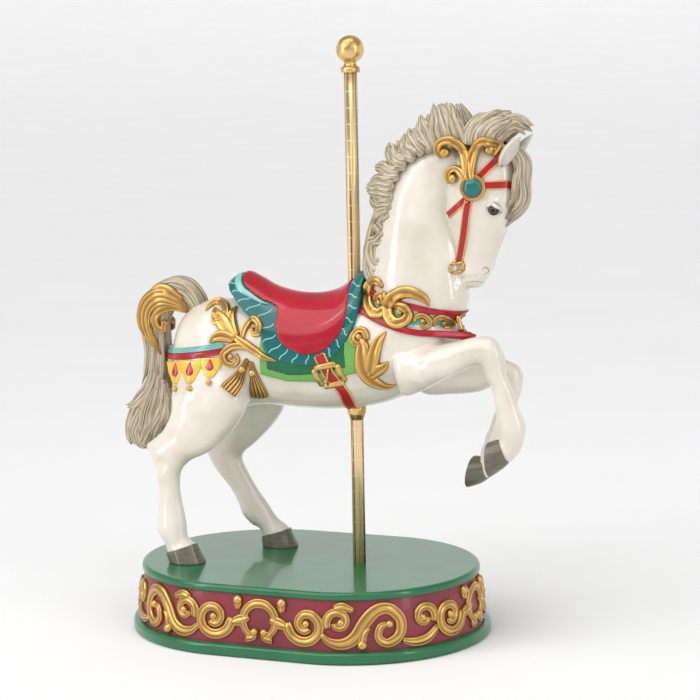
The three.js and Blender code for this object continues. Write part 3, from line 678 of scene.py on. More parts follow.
def toned(name, stops, roughness=0.3, coat=0.8, metal=None, bumps=0.1):
    """Enamel or gilding whose colour, and metal where it has any, follow the tone kept on the mesh."""
    finish, tree, shader = material_of(name)
    tone = add(tree, "ShaderNodeAttribute", attribute_name="tone").outputs["Fac"]
    colour = ramp(tree, tone, stops)
    cloud = ramp(tree, noise(tree, 60, 4), [(0.3, (1, 1, 1)), (0.75, (0.72, 0.70, 0.68))])
    colour = mixed(tree, "MULTIPLY", 0.6, colour, cloud)
    tree.links.new(colour, shader.inputs["Base Color"])
    if metal:
        share = ramp(tree, tone, metal)
        tree.links.new(share, shader.inputs["Metallic"])
    bump(tree, shader, noise(tree, 300, 3), bumps, 0.4)
    shader.inputs["Specular IOR Level"].default_value = 0.3
    shader.inputs["Roughness"].default_value = roughness
    shader.inputs["Coat Weight"].default_value = coat
    shader.inputs["Coat Roughness"].default_value = 0.08
    return finish


GOLD = (0.54, 0.30, 0.07)
GOLD_BRIGHT = (0.74, 0.47, 0.15)
ANTIQUE = (0.10, 0.042, 0.010)
gold_edges = [(0.45, (0, 0, 0)), (0.65, (0.8, 0.8, 0.8))]
red_to_gold = [(0.35, RED), (0.6, GOLD), (1.0, GOLD_BRIGHT)]
red_strap = toned("red_strap_enamel", red_to_gold, coat=0.45, metal=gold_edges)
red_plain = toned("red_plain_enamel", [(0.3, RED), (1.0, (0.34, 0.004, 0.014))], coat=0.45)
TEAL_LIGHT = (0.15, 0.46, 0.42)
teal_strap = toned("teal_strap_enamel", [(0.35, TEAL_LIGHT), (0.6, TEAL_LIGHT), (1.0, (0.30, 0.60, 0.52))])
gold_to_wash = [(0.0, GOLD_BRIGHT), (0.35, GOLD), (0.8, ANTIQUE), (1.0, (0.05, 0.02, 0.006))]
bare_ridges = [(0.3, (0.9, 0.9, 0.9)), (0.9, (0.2, 0.2, 0.2))]
gilding = toned("gilding", gold_to_wash, coat=0.3, metal=bare_ridges, bumps=0.2)


def strap(name, finish, lines, rise):
    """One piece for straps that share a finish; each line is (laid points, half width, tips)."""
    bm = carving()
    for spots, half, tips in lines:
        spots = evened(spots)
        sweep(bm, stations_of(spots, [half] * len(spots), [rise] * len(spots), tips), strap_profile())
    piece = piece_of(name, bm, finish)
    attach(piece, "root")
    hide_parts("horse")
    return piece


skin = skin_of(body, cloth, border)
hide = skin_of(body)
GIRTH = [[34, 345], [39.5, 333], [46, 318], [53.5, 303], [61, 292], [64, 280], [63, 262]]
COLLAR_TOP = [[62, 418], [88, 409], [105, 399], [147, 390], [186, 381], [215, 376]]
COLLAR_LOW = [[62, 392], [88, 380], [113, 370], [149, 361], [186, 357.5], [215, 357]]
COLLAR = [[62, 405], [88, 394.5], [105, 386], [147, 375.75], [186, 369.25], [215, 366.5]]
BREECHING = [[-240, 313], [-180, 319.5], [-150, 323.5], [-118, 328.3], [-76, 336]]


def shifted(line, rise):
    """The same line, moved up by a rise in millimetres."""
    return [[x, z + rise] for x, z in line]


ENDS = (0.02, 0.02)
girth_line = around(skin, (50, 330), "upright", GIRTH, range(-96, 97, 4))
girth = strap("girth", red_strap, [(girth_line, 7.4, ENDS)], 2.6)
chest, chest_turn = (120, 0), range(-158, 159, 4)
middle_line = around(hide, chest, "level", COLLAR, chest_turn)
collar_middle = strap("breast_collar_middle", teal_strap, [(middle_line, 11, ENDS)], 2.2)
edge_lines = [around(hide, chest, "level", line, chest_turn) for line in (COLLAR_TOP, COLLAR_LOW)]
collar = strap("breast_collar", red_plain, [(line, 3.6, ENDS) for line in edge_lines], 3.6)
rump, rump_turn = (-120, 0), range(50, 311, 4)
upper_line = around(hide, rump, "level", shifted(BREECHING, 3.8), rump_turn)
strap("breeching_band", teal_strap, [(upper_line, 3.4, ENDS)], 2.6)
lower_line = around(hide, rump, "level", shifted(BREECHING, -3.2), rump_turn)
strap("breeching_red", red_plain, [(lower_line, 3.6, ENDS)], 2.6)


# where a side-view point misses the skin, the skin nearest to this distance from the middle is used
BESIDE = 16


def laid(surface, rows, side, steps=6):
    """Side-view rows [x, z, half width] laid on the skin of one side."""
    spots, halves = [], []
    for x, z, half in smooth_rows(rows, steps):
        start = Vector((x * MM, side * SIDE_OUT * MM, z * MM))
        hit, normal, _, _ = surface.ray_cast(start, Vector((0, -side, 0)))
        if hit is None:
            hit, normal, _, _ = surface.find_nearest(Vector((x * MM, side * BESIDE * MM, z * MM)))
        spots.append((hit, (normal + Vector((0, side, 0))).normalized()))
        halves.append(half)
    return evened(spots, 2), halves


def spot_on(surface, x, z, side):
    """One point of the skin of one side, and the direction outwards there."""
    return laid(surface, [[x, z, 0], [x + 0.1, z, 0]], side, 1)[0][0]


BRIDLE = {
    "cheek": [[214.5, 512, 4.8], [206, 474, 4.8], [195, 436, 4.6]],
    "brow": [[226, 525, 5], [250, 526, 5], [267, 525, 5]],
    "crown": [[224, 534, 4.5], [245, 556, 4.5], [271, 578, 4.5]],
    "throat": [[212, 512, 4], [198, 500, 4], [185, 491, 4]],
}
lines = []
for side in (-1, 1):
    for rows in BRIDLE.values():
        spots, halves = laid(hide, rows, side, 8)
        lines.append((spots, halves[0], (0.05, 0.05)))
strap("bridle", red_strap, lines, 2.4)


# ---- Gilt scrolls and rosettes --------------------------------------------------------------------
# Carved acanthus scrolls lie on the collar, shoulder and croup, gilded over a brown wash that stays in
# their grooves. Many of their ends curl round small balls. The far side has the main ones only.
SCROLLS = {
    "collar_rear": [
        [112, 409, 3], [104, 416, 5], [94, 413, 6.2], [89, 402, 7], [91, 389, 7.4], [101, 380, 7.2],
        [112, 382, 6.6], [117, 391, 6], [113, 400, 5], [105, 400, 4], [103, 394, 3.4],
    ],
    "collar_main": [
        [168, 390, 1], [164, 398, 4.6], [154, 404, 6.2], [140, 406, 7.4], [126, 400, 7.8],
        [118, 388, 7.8], [122, 375, 7.4], [133, 370, 7], [143, 376, 6.4], [143, 387, 5.6],
        [134, 391, 4.6], [129, 386, 3.6],
    ],
    "collar_small": [
        [150, 371, 2], [154, 379, 3], [163, 380, 3.6], [168, 372, 3.4], [163, 366, 3], [157, 370, 2.6],
    ],
    "collar_small_two": [
        [170, 366, 2], [173, 375, 3.2], [181, 378, 3.4], [187, 370, 3.2], [182, 364, 2.8],
        [177, 369, 2.4],
    ],
    "collar_small_three": [[188, 364, 1.5], [190, 373, 3], [197, 375, 3], [200, 368, 2.8], [195, 364, 2.2]],
    "shoulder_curl": [[97, 350, 3], [93, 360, 4], [84, 361, 4], [79, 353, 4], [84, 346, 4], [90, 349, 3]],
    "shoulder_stem": [
        [84, 350, 5], [91, 344, 8], [91, 330, 10.5], [92, 316, 10.5], [99, 304, 8.5], [111, 297.5, 5],
        [119, 296.5, 3], [125, 299, 0.8],
    ],
    "shoulder_leaf": [[98, 312, 6], [103, 326, 8.5], [107, 340, 7.5], [112, 352, 5], [119, 361, 0.8]],
    "shoulder_leaf_low": [[98, 308, 5], [107, 316, 7.5], [116, 321, 5.5], [122, 328, 0.8]],
    "croup_top": [
        [-114, 374, 1], [-110, 381, 4.5], [-101, 384, 5.6], [-91, 381, 5.4], [-85, 373, 5],
        [-88, 365, 4.4], [-96, 364, 4], [-100, 370, 3.4],
    ],
    "croup_side": [
        [-60, 345, 3], [-58, 357, 3.8], [-52, 367, 4.2], [-43, 370.5, 4], [-35.5, 363, 4],
        [-38, 353.5, 3.6], [-46, 352, 3.2], [-50, 359, 2.8],
    ],
    "croup_leaf": [[-66, 346, 5], [-77, 355, 8.5], [-88, 365, 9.5], [-97, 372, 6], [-103, 379, 0.8]],
    "croup_leaf_low": [[-68, 345, 5], [-82, 349, 7.5], [-92, 347, 6], [-100, 340, 0.8]],
    "croup_leaf_high": [[-66, 348, 4.5], [-74, 360, 7], [-78, 370, 6], [-76, 381, 0.8]],
    "croup_stem": [[-70, 349, 4], [-54, 340, 5.5], [-40, 332.5, 5], [-27, 326.5, 3.4], [-14, 323, 0.8]],
    "croup_low": [
        [-48, 335, 2.5], [-60, 338, 4.4], [-72, 336.5, 4.8], [-82, 328, 4.4], [-79, 318.5, 4],
        [-70, 316, 3.6], [-64, 322, 3.2], [-67, 329, 2.6],
    ],
    "tassel": [[-52, 324, 3], [-57, 314, 4], [-62, 306, 6], [-70, 293, 10], [-75, 285, 11]],
    "tassel_front": [[-48, 321, 3], [-47, 310, 4.4], [-46, 300, 6.5], [-46, 287, 10.5], [-46, 277, 11.5]],
}
BALLS = {
    "collar_rear": [107, 392.5, 4], "collar_main": [134, 384, 4.2], "collar_small": [160, 373.5, 2.8],
    "collar_small_two": [179.5, 370.5, 2.8], "shoulder_curl": [86, 353.5, 4], "croup_top": [-95, 371.5, 3.6],
    "croup_side": [-44, 360.5, 3.4], "tassel": [-59, 311, 4.6], "tassel_front": [-47, 307, 4.8],
    "croup_low": [-72.5, 325.5, 3.4],
}
FAR_SIDE_LEAVES_OFF = [
    "collar_small", "collar_small_two", "collar_small_three", "croup_top",
    "croup_leaf_low", "croup_low", "tassel_front", "shoulder_leaf",
]
# no scroll stands higher than this off what it lies on
HIGHEST = 6


def ridged(ridges, sides=26, depth=0.3, groove=0.62):
    """A half-round profile with ridges running along it; the grooves carry the brown wash."""
    profile = []
    for k in range(sides + 1):
        turn = math.pi * k / sides
        low = max(0.0, (1 + math.cos(turn * 2 * ridges)) / 2)
        height = max(0.0, math.sin(turn)) ** 0.6 * (1 - depth * low)
        profile.append([-math.cos(turn), height, 0.05 + groove * low ** 1.5])
    return profile + [[0.9, -0.3, 0.9], [0, -0.4, 0.9], [-0.9, -0.3, 0.9]]


def ball(bm, centre, radius):
    """A small gilt ball."""
    tones = bm.verts.layers.float["tone"]
    place = Matrix.Translation(centre)
    made = bmesh.ops.create_uvsphere(bm, u_segments=20, v_segments=12, radius=radius * MM, matrix=place)
    for vert in made["verts"]:
        vert[tones] = 0.1


ridge = ridged(2, 26, 0.22, 0.5)
bm = carving()
skin = skin_of(body, cloth, border, collar, collar_middle, girth)
for side in (-1, 1):
    for name, rows in SCROLLS.items():
        if side > 0 and name in FAR_SIDE_LEAVES_OFF:
            continue
        spots, halves = laid(skin, rows, side, 7)
        profile = ridged(7, 56, 0.24, 0.85) if name.startswith("tassel") else ridge
        rises = [min(HIGHEST, half + 1) for half in halves]
        sweep(bm, stations_of(spots, halves, rises, (0.06, 0.04)), profile)
        if name in BALLS:
            x, z, radius = BALLS[name]
            spot, out = spot_on(skin, x, z, side)
            ball(bm, spot + out * radius * 0.6 * MM, radius)
scrolls = piece_of("gilt_scrolls", bm, gilding)
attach(scrolls, "root")
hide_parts("horse")


def upright_turn(out):
    """A turn that carries +Z onto an outward direction."""
    return out.to_track_quat("Z", "Y").to_matrix().to_4x4()


def rosette_rings(bm, spot, out, profile, segments=48):
    """A turned boss standing on the skin: rings of (radius, height, tone) bridged into one form."""
    foot = Matrix.Translation(spot) @ upright_turn(out)
    tones = bm.verts.layers.float["tone"]
    rings = []
    for radius, height, tone in profile:
        place = foot @ Matrix.Translation((0, 0, height * MM))
        ring = bmesh.ops.create_circle(bm, segments=segments, radius=radius * MM, matrix=place)["verts"]
        for vert in ring:
            vert[tones] = tone
        rings.append(ring)
    bridge(bm, rings)


ROSETTE = [218, 523]
ROSETTE_RINGS = [
    (14.8, -3, 0.9), (15, 2, 0.5), (14.6, 4.4, 0.1), (13.6, 5.4, 0.0),
    (12.6, 4.6, 0.6), (12, 4.4, 0.1), (11.2, 5.2, 0.5), (9.4, 3, 1),
]
bm = carving()
jewels = []
for side in (-1, 1):
    spot, _ = spot_on(hide, *ROSETTE, side)
    out = Vector((0.12, side, 0.05)).normalized()
    rosette_rings(bm, spot, out, ROSETTE_RINGS)
    jewels.append((spot, out))
rosette = piece_of("bridle_rosettes", bm, gilding)
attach(rosette, "root")
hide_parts("horse")
jewel_teal = lacquer("jewel_teal", (0.004, 0.165, 0.155), (0.003, 0.12, 0.115), 0.1, 0.6, None, 0.3)
bm = bmesh.new()
for spot, out in jewels:
    place = Matrix.Translation(spot + out * 3.2 * MM) @ upright_turn(out) @ Matrix.Diagonal((1, 1, 0.45, 1))
    bmesh.ops.create_uvsphere(bm, u_segments=40, v_segments=20, radius=11 * MM, matrix=place)
jewel = piece_of("rosette_jewels", bm, jewel_teal)
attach(jewel, "root")
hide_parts("horse")

# The girth's buckle is a square gilt frame with a middle bar.
BUCKLE = [[31, 316], [60, 322.5], [67, 300.5], [39, 294]]
bm = carving()
skin = skin_of(body, cloth, border, girth)
bar = ridged(1, 16, 0.0, 0.35)
for side in (-1, 1):
    for one, two in zip(BUCKLE, BUCKLE[1:] + BUCKLE[:1]):
        middle = [(one[0] + two[0]) / 2, (one[1] + two[1]) / 2]
        spots, halves = laid(skin, [point + [3.5] for point in (one, middle, two)], side, 5)
        sweep(bm, stations_of(spots, halves, [2.2] * len(spots), (0.05, 0.05)), bar)
    spots, halves = laid(skin, [[46, 296, 1.4], [48, 306, 1.4], [51, 318, 1.4]], side, 5)
    sweep(bm, stations_of(spots, halves, [3.4] * len(spots), (0.05, 0.05)), bar)
buckle = piece_of("girth_buckles", bm, gilding)
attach(buckle, "root")
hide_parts("horse")

# The breeching's pendants: yellow enamel scallops with a red drop and a gilt ball.
# Each is [x, z of its top, half width, drop].
PENDANTS = [[-98, 324, 13.5, 27], [-123, 320, 14, 31], [-145, 316.5, 13, 30], [-160, 313, 11, 29]]
yellow = lacquer("yellow_enamel", (0.85, 0.52, 0.03), (0.74, 0.40, 0.02), 0.25, 0.9, (0.35, 0.14, 0.01))
red_drop = lacquer("red_drop_enamel", (0.50, 0.012, 0.03), (0.38, 0.008, 0.02), 0.2, 1.0)
turns = [math.pi * k / 12 for k in range(13)]
domed = [[-math.cos(turn), abs(math.sin(turn)) ** 0.6, 0] for turn in turns] + [[0, -0.4, 0]]
scallops, drops, tips = carving(), carving(), carving()
for side in (-1, 1):
    for x, z, half, drop in PENDANTS:
        rows = [
            [x, z, half],
            [x, z - 0.3 * drop, half * 0.98],
            [x + 0.4, z - 0.62 * drop, half * 0.62],
            [x + 0.8, z - 0.9 * drop, half * 0.28],
        ]
        spots, halves = laid(hide, rows, side, 5)
        sweep(scallops, stations_of(spots, halves, [2.6] * len(spots), (0.04, 0.2)), domed)
        rows = [
            [x, z - 0.05 * drop, 0.6],
            [x, z - 0.22 * drop, half * 0.2],
            [x + 0.3, z - 0.44 * drop, half * 0.38],
            [x + 0.4, z - 0.6 * drop, half * 0.26],
        ]
        spots, halves = laid(hide, rows, side, 5)
        spots = [(point + out * 1.6 * MM, out) for point, out in spots]
        sweep(drops, stations_of(spots, halves, [2.2] * len(spots), (0.2, 0.3)), domed)
        spot, out = spot_on(hide, x + 1, z - drop - 1.5, side)
        ball(tips, spot + out * 2 * MM, 3.5)
for name, bm, finish, slot in (
    ("pendant_scallops", scallops, yellow, "yellow_enamel"),
    ("pendant_drops", drops, red_drop, "red_enamel"),
    ("pendant_balls", tips, gilding, "gilding"),
):
    piece = piece_of(name, bm, finish)
    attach(piece, "root")
    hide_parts("horse")

# The saddle border's rolled light edge and the pale brush lines across its teal.
CANTLE_EDGE = [
    [-76, 421, 3.2], [-74, 412, 4.2], [-66, 402, 4], [-55, 396, 3], [-42, 389, 2], [-30, 385, 0.8],
]
BRUSH = {"sway": 1.9, "half_width": 0.75, "rise": 0.5}
BRUSH_LINES = [
    [[-88, 405], [-72, 411]], [[-78, 397], [-61, 404]], [[-67, 387], [-50, 396]], [[-56, 377], [-38, 390]],
    [[-45, 367], [-24, 383]], [[-37, 355], [-18, 367]], [[-33, 342], [-14, 355]], [[-24, 330], [-8, 345]],
    [[-10, 323], [0, 339]], [[6, 320], [12, 334]], [[24, 319.5], [25, 333]], [[41, 323.5], [37, 335]],
    [[55, 330.5], [48, 341]], [[66, 342], [57, 350]], [[74, 356], [64, 362]], [[79, 371], [68, 374]],
    [[82, 387], [69, 387]], [[83, 399], [67, 399]], [[83, 411], [66, 411]],
]
pale_teal = lacquer("pale_teal_enamel", (0.22, 0.56, 0.52), (0.17, 0.48, 0.45), 0.25, 0.9)
bm = carving()
skin = skin_of(seat, border)
for side in (-1, 1):
    spots, halves = laid(skin, CANTLE_EDGE, side, 6)
    sweep(bm, stations_of(spots, halves, [2.6] * len(spots), (0.1, 0.3)), domed)
skin = skin_of(border)
for side in (-1, 1):
    for (x0, z0), (x1, z1) in BRUSH_LINES:
        across = Vector((z0 - z1, 0, x1 - x0)).normalized()
        rows = []
        for share in (0.04, 0.2, 0.36, 0.52, 0.68, 0.84, 0.96):
            sway = BRUSH["sway"] * math.sin(share * 2 * math.pi)
            x = x0 + (x1 - x0) * share + across.x * sway
            z = z0 + (z1 - z0) * share + across.z * sway
            rows.append([x, z, BRUSH["half_width"]])
        spots, halves = laid(skin, rows, side, 2)
        sweep(bm, stations_of(spots, halves, [BRUSH["rise"]] * len(spots), (0.1, 0.1)), domed)
cantle = piece_of("cantle_edge", bm, pale_teal)
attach(cantle, "root")
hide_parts("horse")


# ---- Eyelids, face lines and cheek ring ------------------------------------------------------------
# The lids are raised ivory rolls round each eye. Nostril and mouth are thin darker lines of painted
# shade, and a gilt ring closes each cheek strap.
LIDS = [
    [[231.5, 502, 1.0], [235.5, 504.2, 2.0], [240.5, 503.8, 2.2], [245.5, 500.4, 1.9], [248.6, 495.4, 0.9]],
    [[232, 498.5, 0.8], [236, 493.2, 1.6], [242, 491.6, 1.7], [247.8, 494.4, 0.9]],
]
FACE_LINES = [
    [[222, 430, 0.4], [225.5, 433, 0.8], [228.5, 430.5, 1.0], [227.5, 426.5, 0.8], [223.5, 425, 0.4]],
    [[202, 414.5, 0.4], [209, 416.5, 0.5], [216, 416.5, 0.5], [221, 414.5, 0.4]],
]
CHEEK_RING = [[187, 436], [202, 438], [201, 428], [188, 426], [187, 436]]
# the darker lines at nostril and mouth are painted shade
painted_face_shade = lacquer("painted_face_shade", (0.47, 0.39, 0.29), (0.36, 0.28, 0.19), 0.35, 0.5)
lids, shade_lines, rings = carving(), carving(), carving()
skin = skin_of(body, eyes)
for side in (-1, 1):
    for made, table, rise in ((lids, LIDS, 2.2), (shade_lines, FACE_LINES, 0.4)):
        for rows in table:
            spots, halves = laid(skin, rows, side, 6)
            sweep(made, stations_of(spots, halves, [rise] * len(spots), (0.1, 0.1)), domed)
    for one, two in zip(CHEEK_RING, CHEEK_RING[1:]):
        spots, halves = laid(hide, [one + [1.8], two + [1.8]], side, 6)
        sweep(rings, stations_of(spots, halves, [3.0] * len(spots), (0.1, 0.1)), bar)
for name, bm, finish, slot in (
    ("eyelids", lids, ivory, "ivory_lacquer"),
    ("face_lines", shade_lines, painted_face_shade, "hair_taupe"),
    ("cheek_rings", rings, gilding, "gilding"),
):
    piece = piece_of(name, bm, finish)
    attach(piece, "root")
    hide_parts("horse")


# ---- Mane, forelock, ears and tail ----------------------------------------------------------------
# Carved hair in taupe lacquer, wiped back so that its ridges are pale. Every lock is a tapered,
# wavy mass with fine grooves along it; locks lie over each other and curl at their tips.

# The strands are painted: streaks that follow each lock's own across and along, kept in "grain".
hair, tree, shader = material_of("hair_lacquer")
tone = add(tree, "ShaderNodeAttribute", attribute_name="tone").outputs["Fac"]
WIPED_RIDGE, TAUPE, TAUPE_WASH = (0.66, 0.58, 0.44), (0.48, 0.405, 0.29), (0.19, 0.14, 0.08)
colour = ramp(tree, tone, [(0.0, WIPED_RIDGE), (0.5, TAUPE), (1.0, TAUPE_WASH)])
streak = add(tree, "ShaderNodeTexNoise", Scale=1.0, Detail=2.0)
grain = add(tree, "ShaderNodeAttribute", attribute_name="grain")
tree.links.new(grain.outputs["Vector"], streak.inputs["Vector"])
strand_stops = [(0.38, (0.32, 0.265, 0.19)), (0.5, (0.80, 0.76, 0.69)), (0.62, (1, 1, 1))]
strands = ramp(tree, streak.outputs["Fac"], strand_stops)
colour = mixed(tree, "MULTIPLY", 0.85, colour, strands)
cloud = ramp(tree, noise(tree, 34, 3), [(0.32, (1, 1, 1)), (0.72, (0.78, 0.75, 0.70))])
colour = mixed(tree, "MULTIPLY", 0.7, colour, cloud)
tree.links.new(colour, shader.inputs["Base Color"])
bump(tree, shader, streak.outputs["Fac"], 0.8, 0.5)
shader.inputs["Roughness"].default_value = 0.34
shader.inputs["Coat Weight"].default_value = 0.6
shader.inputs["Coat Roughness"].default_value = 0.1
chance = random.Random(7)


def grooved(strands, sides, depth=0.14):
    """A closed round profile cut by uneven lengthwise grooves, like combed carved hair."""
    edges = [(k + chance.uniform(-0.25, 0.25)) / strands for k in range(strands)]
    edges = [edge - edges[0] for edge in edges] + [1]
    profile = []
    for k in range(sides):
        share = k / sides
        i = max(n for n in range(strands) if edges[n] <= share + 1e-9)
        inside = (share - edges[i]) / (edges[i + 1] - edges[i])
        low = max(0.0, 1 - math.sin(math.pi * inside)) ** 1.3
        turn = 2 * math.pi * share
        size = 1 - depth * low
        profile.append([math.cos(turn) * size, math.sin(turn) * size, min(1, 0.02 + 0.8 * low)])
    return profile


def lock(bm, rows, up, profile, wave=1.2, flat=0.62, tips=(0.05, 0.22), steps=6):
    """One lock through [x, y, z, half width] rows in millimetres, with its strands' grain."""
    rows = smooth_rows(rows, steps)
    count = len(rows)
    phase, cycles = chance.uniform(0, 6.28), chance.uniform(1.1, 1.7)
    spots, halves = [], []
    for k, (x, y, z, half) in enumerate(rows):
        ahead = rows[min(k + 1, count - 1)] - rows[max(k - 1, 0)]
        along = Vector(ahead[:3]).normalized()
        swing = wave * math.sin(phase + cycles * 2 * math.pi * k / count) * min(1, 3 * k / count)
        spots.append(((Vector((x, y, z)) + along.cross(up) * swing) * MM, up))
        halves.append(max(0.5, half))
    stations = stations_of(spots, halves, [half * flat + 1.2 for half in halves], tips)
    sweep(bm, stations, profile, chance.uniform(0, 90))


def clump(bm, path, side, depth_y, share=0.7, parts=3, wave=2.0, strands=6):
    """Overlapping locks that share one path of [x, z, half] rows; depth_y gives y at root and tip."""
    last = len(path) - 1
    for k in range(parts):
        offset = (k - (parts - 1) / 2) / max(0.5, (parts - 1) / 2)
        rows = []
        for i, (x, z, half) in enumerate(path):
            ahead = np.subtract(path[min(i + 1, last)][:2], path[max(i - 1, 0)][:2])
            ahead = ahead / (np.linalg.norm(ahead) + 1e-6)
            wide = max(half, 4 if i == last else 0) * (1 - share) * offset * 1.25
            y = depth_y[0] + (depth_y[1] - depth_y[0]) * i / last - 1.6 * (1 - abs(offset))
            rows.append([x - ahead[1] * wide, side * -y, z + ahead[0] * wide, max(half * share, 0.8)])
        if k != parts // 2:
            x, y, z, _ = rows[-1]
            rows[-1] = [x + chance.uniform(-3, 3), y, z + chance.uniform(-4, 2), 0.8]
        lock(bm, rows, Vector((0, side, 0)), grooved(strands, 5 * strands), wave)


# The mane's paths run from the withers up to the poll, each as [x, z, half width] from root to tip.
MANE = [
    [[118, 440, 9], [102, 432, 10], [93, 442, 9], [91, 458, 7], [96, 466, 1]],
    [
        [128, 424, 8], [112, 414, 9], [98, 416, 9], [91, 432, 8], [94, 446, 5], [106, 449, 4],
        [113, 440, 3], [108, 433, 1],
    ],
    [[100, 482, 6], [106, 473, 7], [114, 465, 6], [124, 461, 4], [132, 465, 0.8]],
    [[113, 468, 7], [103, 462, 8], [93, 458, 7], [88, 450, 1]],
    [[117, 494, 8], [107, 489, 9], [99, 480, 7], [94, 470, 1]],
    [[119, 506, 8], [108, 503, 9], [98, 505, 7], [90, 512, 1]],
    [[121, 517, 9], [108, 517, 10], [97, 517, 8], [86, 520, 1]],
    [[122, 529, 8], [109, 527, 9], [97, 527, 7], [87, 523, 1]],
    [[129, 538, 9], [115, 539, 10], [105, 543, 7], [97, 544, 1]],
    [[138, 549, 9], [125, 552, 10], [119, 561, 8], [116, 573, 1]],
    [[150, 557, 9], [139, 563, 10], [134, 571, 8], [136, 582, 1]],
    [[161, 562, 9], [150, 572, 10], [144, 580, 8], [140, 589, 1]],
    [[172, 564, 9], [161, 579, 10], [156, 591, 8], [151, 602, 1]],
    [[183, 565, 9], [173, 584, 10], [170, 600, 7], [169, 615, 1]],
    [[194, 567, 10], [186, 588, 10], [180, 603, 7], [173, 615, 1]],
    [[204, 568, 9], [198, 589, 9], [191, 603, 6], [186, 614, 1]],
    [[213, 569, 9], [214, 586, 9], [222, 597, 7], [232, 603, 1]],
    [[219, 568, 9], [222, 587, 10], [234, 599, 7], [251, 605, 1]],
    [[228, 568, 9], [235, 585, 9], [247, 594, 6], [257, 600, 1]],
]
bm = carving()
for path in MANE:
    crest = min(1.0, (path[0][1] - 420) / 60)
    clump(bm, path, -1, (26 - 3 * crest, 14), wave=1.4)
    clump(bm, path, 1, (26 - 3 * crest, 14), parts=2, wave=1.2, strands=6)
    middle = [[x + 3, z, half * 1.15] for x, z, half in path]
    for side in (-1, 1):
        clump(bm, middle, side, (7, 3), parts=1, share=0.95, strands=9)
# Three locks run down the back of the neck between the two sides of the mane.
for y in (-9, 0, 9):
    rows = [
        [106, y, 516, 7], [97, y, 490, 8], [89, y * 1.1, 466, 8],
        [84, y, 440, 8], [82, y * 0.8, 418, 6.5], [84, y * 0.5, 398, 1],
    ]
    lock(bm, rows, Vector((-1, 0.05 * y, 0.15)).normalized(), grooved(7, 35), 1.4, 0.6)
mane = piece_of("mane", bm, hair)
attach(mane, "root")
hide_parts("horse")

FORELOCK = [
    [[232, 566, 8], [240, 584, 9], [254, 594, 8], [266, 596, 5], [277, 590, 0.8]],
    [[238, 572, 7], [249, 584, 7], [262, 589, 6], [275, 584, 0.8]],
]
FACE_LOCKS = [
    [
        [256, -2, 566, 7], [268, -4, 552, 8], [268, -6, 530, 8], [269, -7, 510, 8], [262, -9, 496, 6],
        [250, -11, 486, 1],
    ],
    [
        [258, 3, 566, 7], [270, 3, 550, 8], [269, 2, 528, 8], [270, 0, 508, 8], [264, -3, 494, 6],
        [248, -7, 478, 1],
    ],
    [[258, 8, 564, 6], [267, 9, 548, 7], [266, 10, 528, 7], [266, 9, 508, 7], [260, 8, 492, 1]],
    [[254, -7, 562, 6], [265, -10, 546, 6], [264, -12, 528, 6], [261, -13, 512, 5], [252, -14, 500, 1]],
]
bm = carving()
for path in FORELOCK:
    clump(bm, path, -1, (16, 6), wave=1.2)
    clump(bm, path, 1, (14, 6), parts=2, wave=1.2)
for rows in FACE_LOCKS:
    lock(bm, rows, Vector((0.9, -0.3, 0.2)).normalized(), grooved(8, 40), 1.3, 0.5)
forelock = piece_of("forelock", bm, hair)
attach(forelock, "root")
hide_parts("horse")

# Two gilt scrolls rise from the rosette over the poll and curl out round balls; a small one is below.
POLL_SCROLLS = [
    [
        [181, 556, 4.2], [176, 564, 4.8], [181, 573, 5], [192, 576, 5.4], [203, 570, 6], [209, 556, 7],
        [213, 542, 7.6], [216, 530, 6],
    ],
    [
        [238, 558, 4], [243, 566, 4.4], [239, 573, 4.8], [229, 575, 5.2], [220, 566, 5.8],
        [216, 552, 6.4], [215, 538, 6], [216, 530, 5],
    ],
    [[190, 527, 3.2], [186, 534, 3.6], [189, 542, 4], [198, 544, 4.4], [206, 538, 4.8], [212, 530, 4]],
]
POLL_BALLS = [[184, 562, 6.8], [235.5, 565, 6.4], [193.5, 532.5, 5.4]]
bm = carving()
skin = skin_of(body, mane)
for side in (-1, 1):
    lift = Vector((0, side * 2.5, 0)) * MM
    for rows, (x, z, radius) in zip(POLL_SCROLLS, POLL_BALLS):
        spots, halves = laid(skin, rows, side, 7)
        spots = [(point + lift, out) for point, out in evened(spots, 12)]
        rises = [min(HIGHEST, half + 1) for half in halves]
        sweep(bm, stations_of(spots, halves, rises, (0.05, 0.05)), ridge)
        spot, out = spot_on(skin, x, z, side)
        ball(bm, spot + lift + Vector((0, side, 0)) * radius * 0.3 * MM, radius)
poll = piece_of("poll_scrolls", bm, gilding)
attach(poll, "root")
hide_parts("horse")

# Each ear is a thin pointed cup, open to the front.
EAR = [
    [250, 17, 546, 6.5], [256, 21.5, 554, 10], [262.5, 24, 564.5, 9.5], [268, 24, 573, 6],
    [273, 22, 580, 0.8],
]
turns = [math.pi * k / 16 for k in range(17)]
cup = [[-math.cos(turn), math.sin(turn), 0] for turn in turns]
cup += [[0.86 * math.cos(turn), 0.72 * math.sin(turn) - 0.02, 1] for turn in turns]
bm = carving()
for side in (-1, 1):
    rows = smooth_rows([[x, side * y, z, half] for x, y, z, half in EAR], 7)
    up = Vector((-0.85, -side * 0.4, 0.3)).normalized()
    spots = [(Vector(row[:3]) * MM, up) for row in rows]
    sweep(bm, stations_of(spots, [row[3] for row in rows], [row[3] * 0.95 for row in rows], (0.02, 0.3)), cup)
# the inside of each cup is painted lighter than its back: painted light against the shade in the cup
ear_stops_lit_inside = [(0.0, (0.74, 0.69, 0.60)), (1.0, (0.78, 0.72, 0.64))]
ear_ivory_lit_inside = toned("ear_ivory_lit_inside", ear_stops_lit_inside, roughness=0.28, coat=1.0)
ears = piece_of("ears", bm, ear_ivory_lit_inside)
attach(ears, "root")
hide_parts("horse")

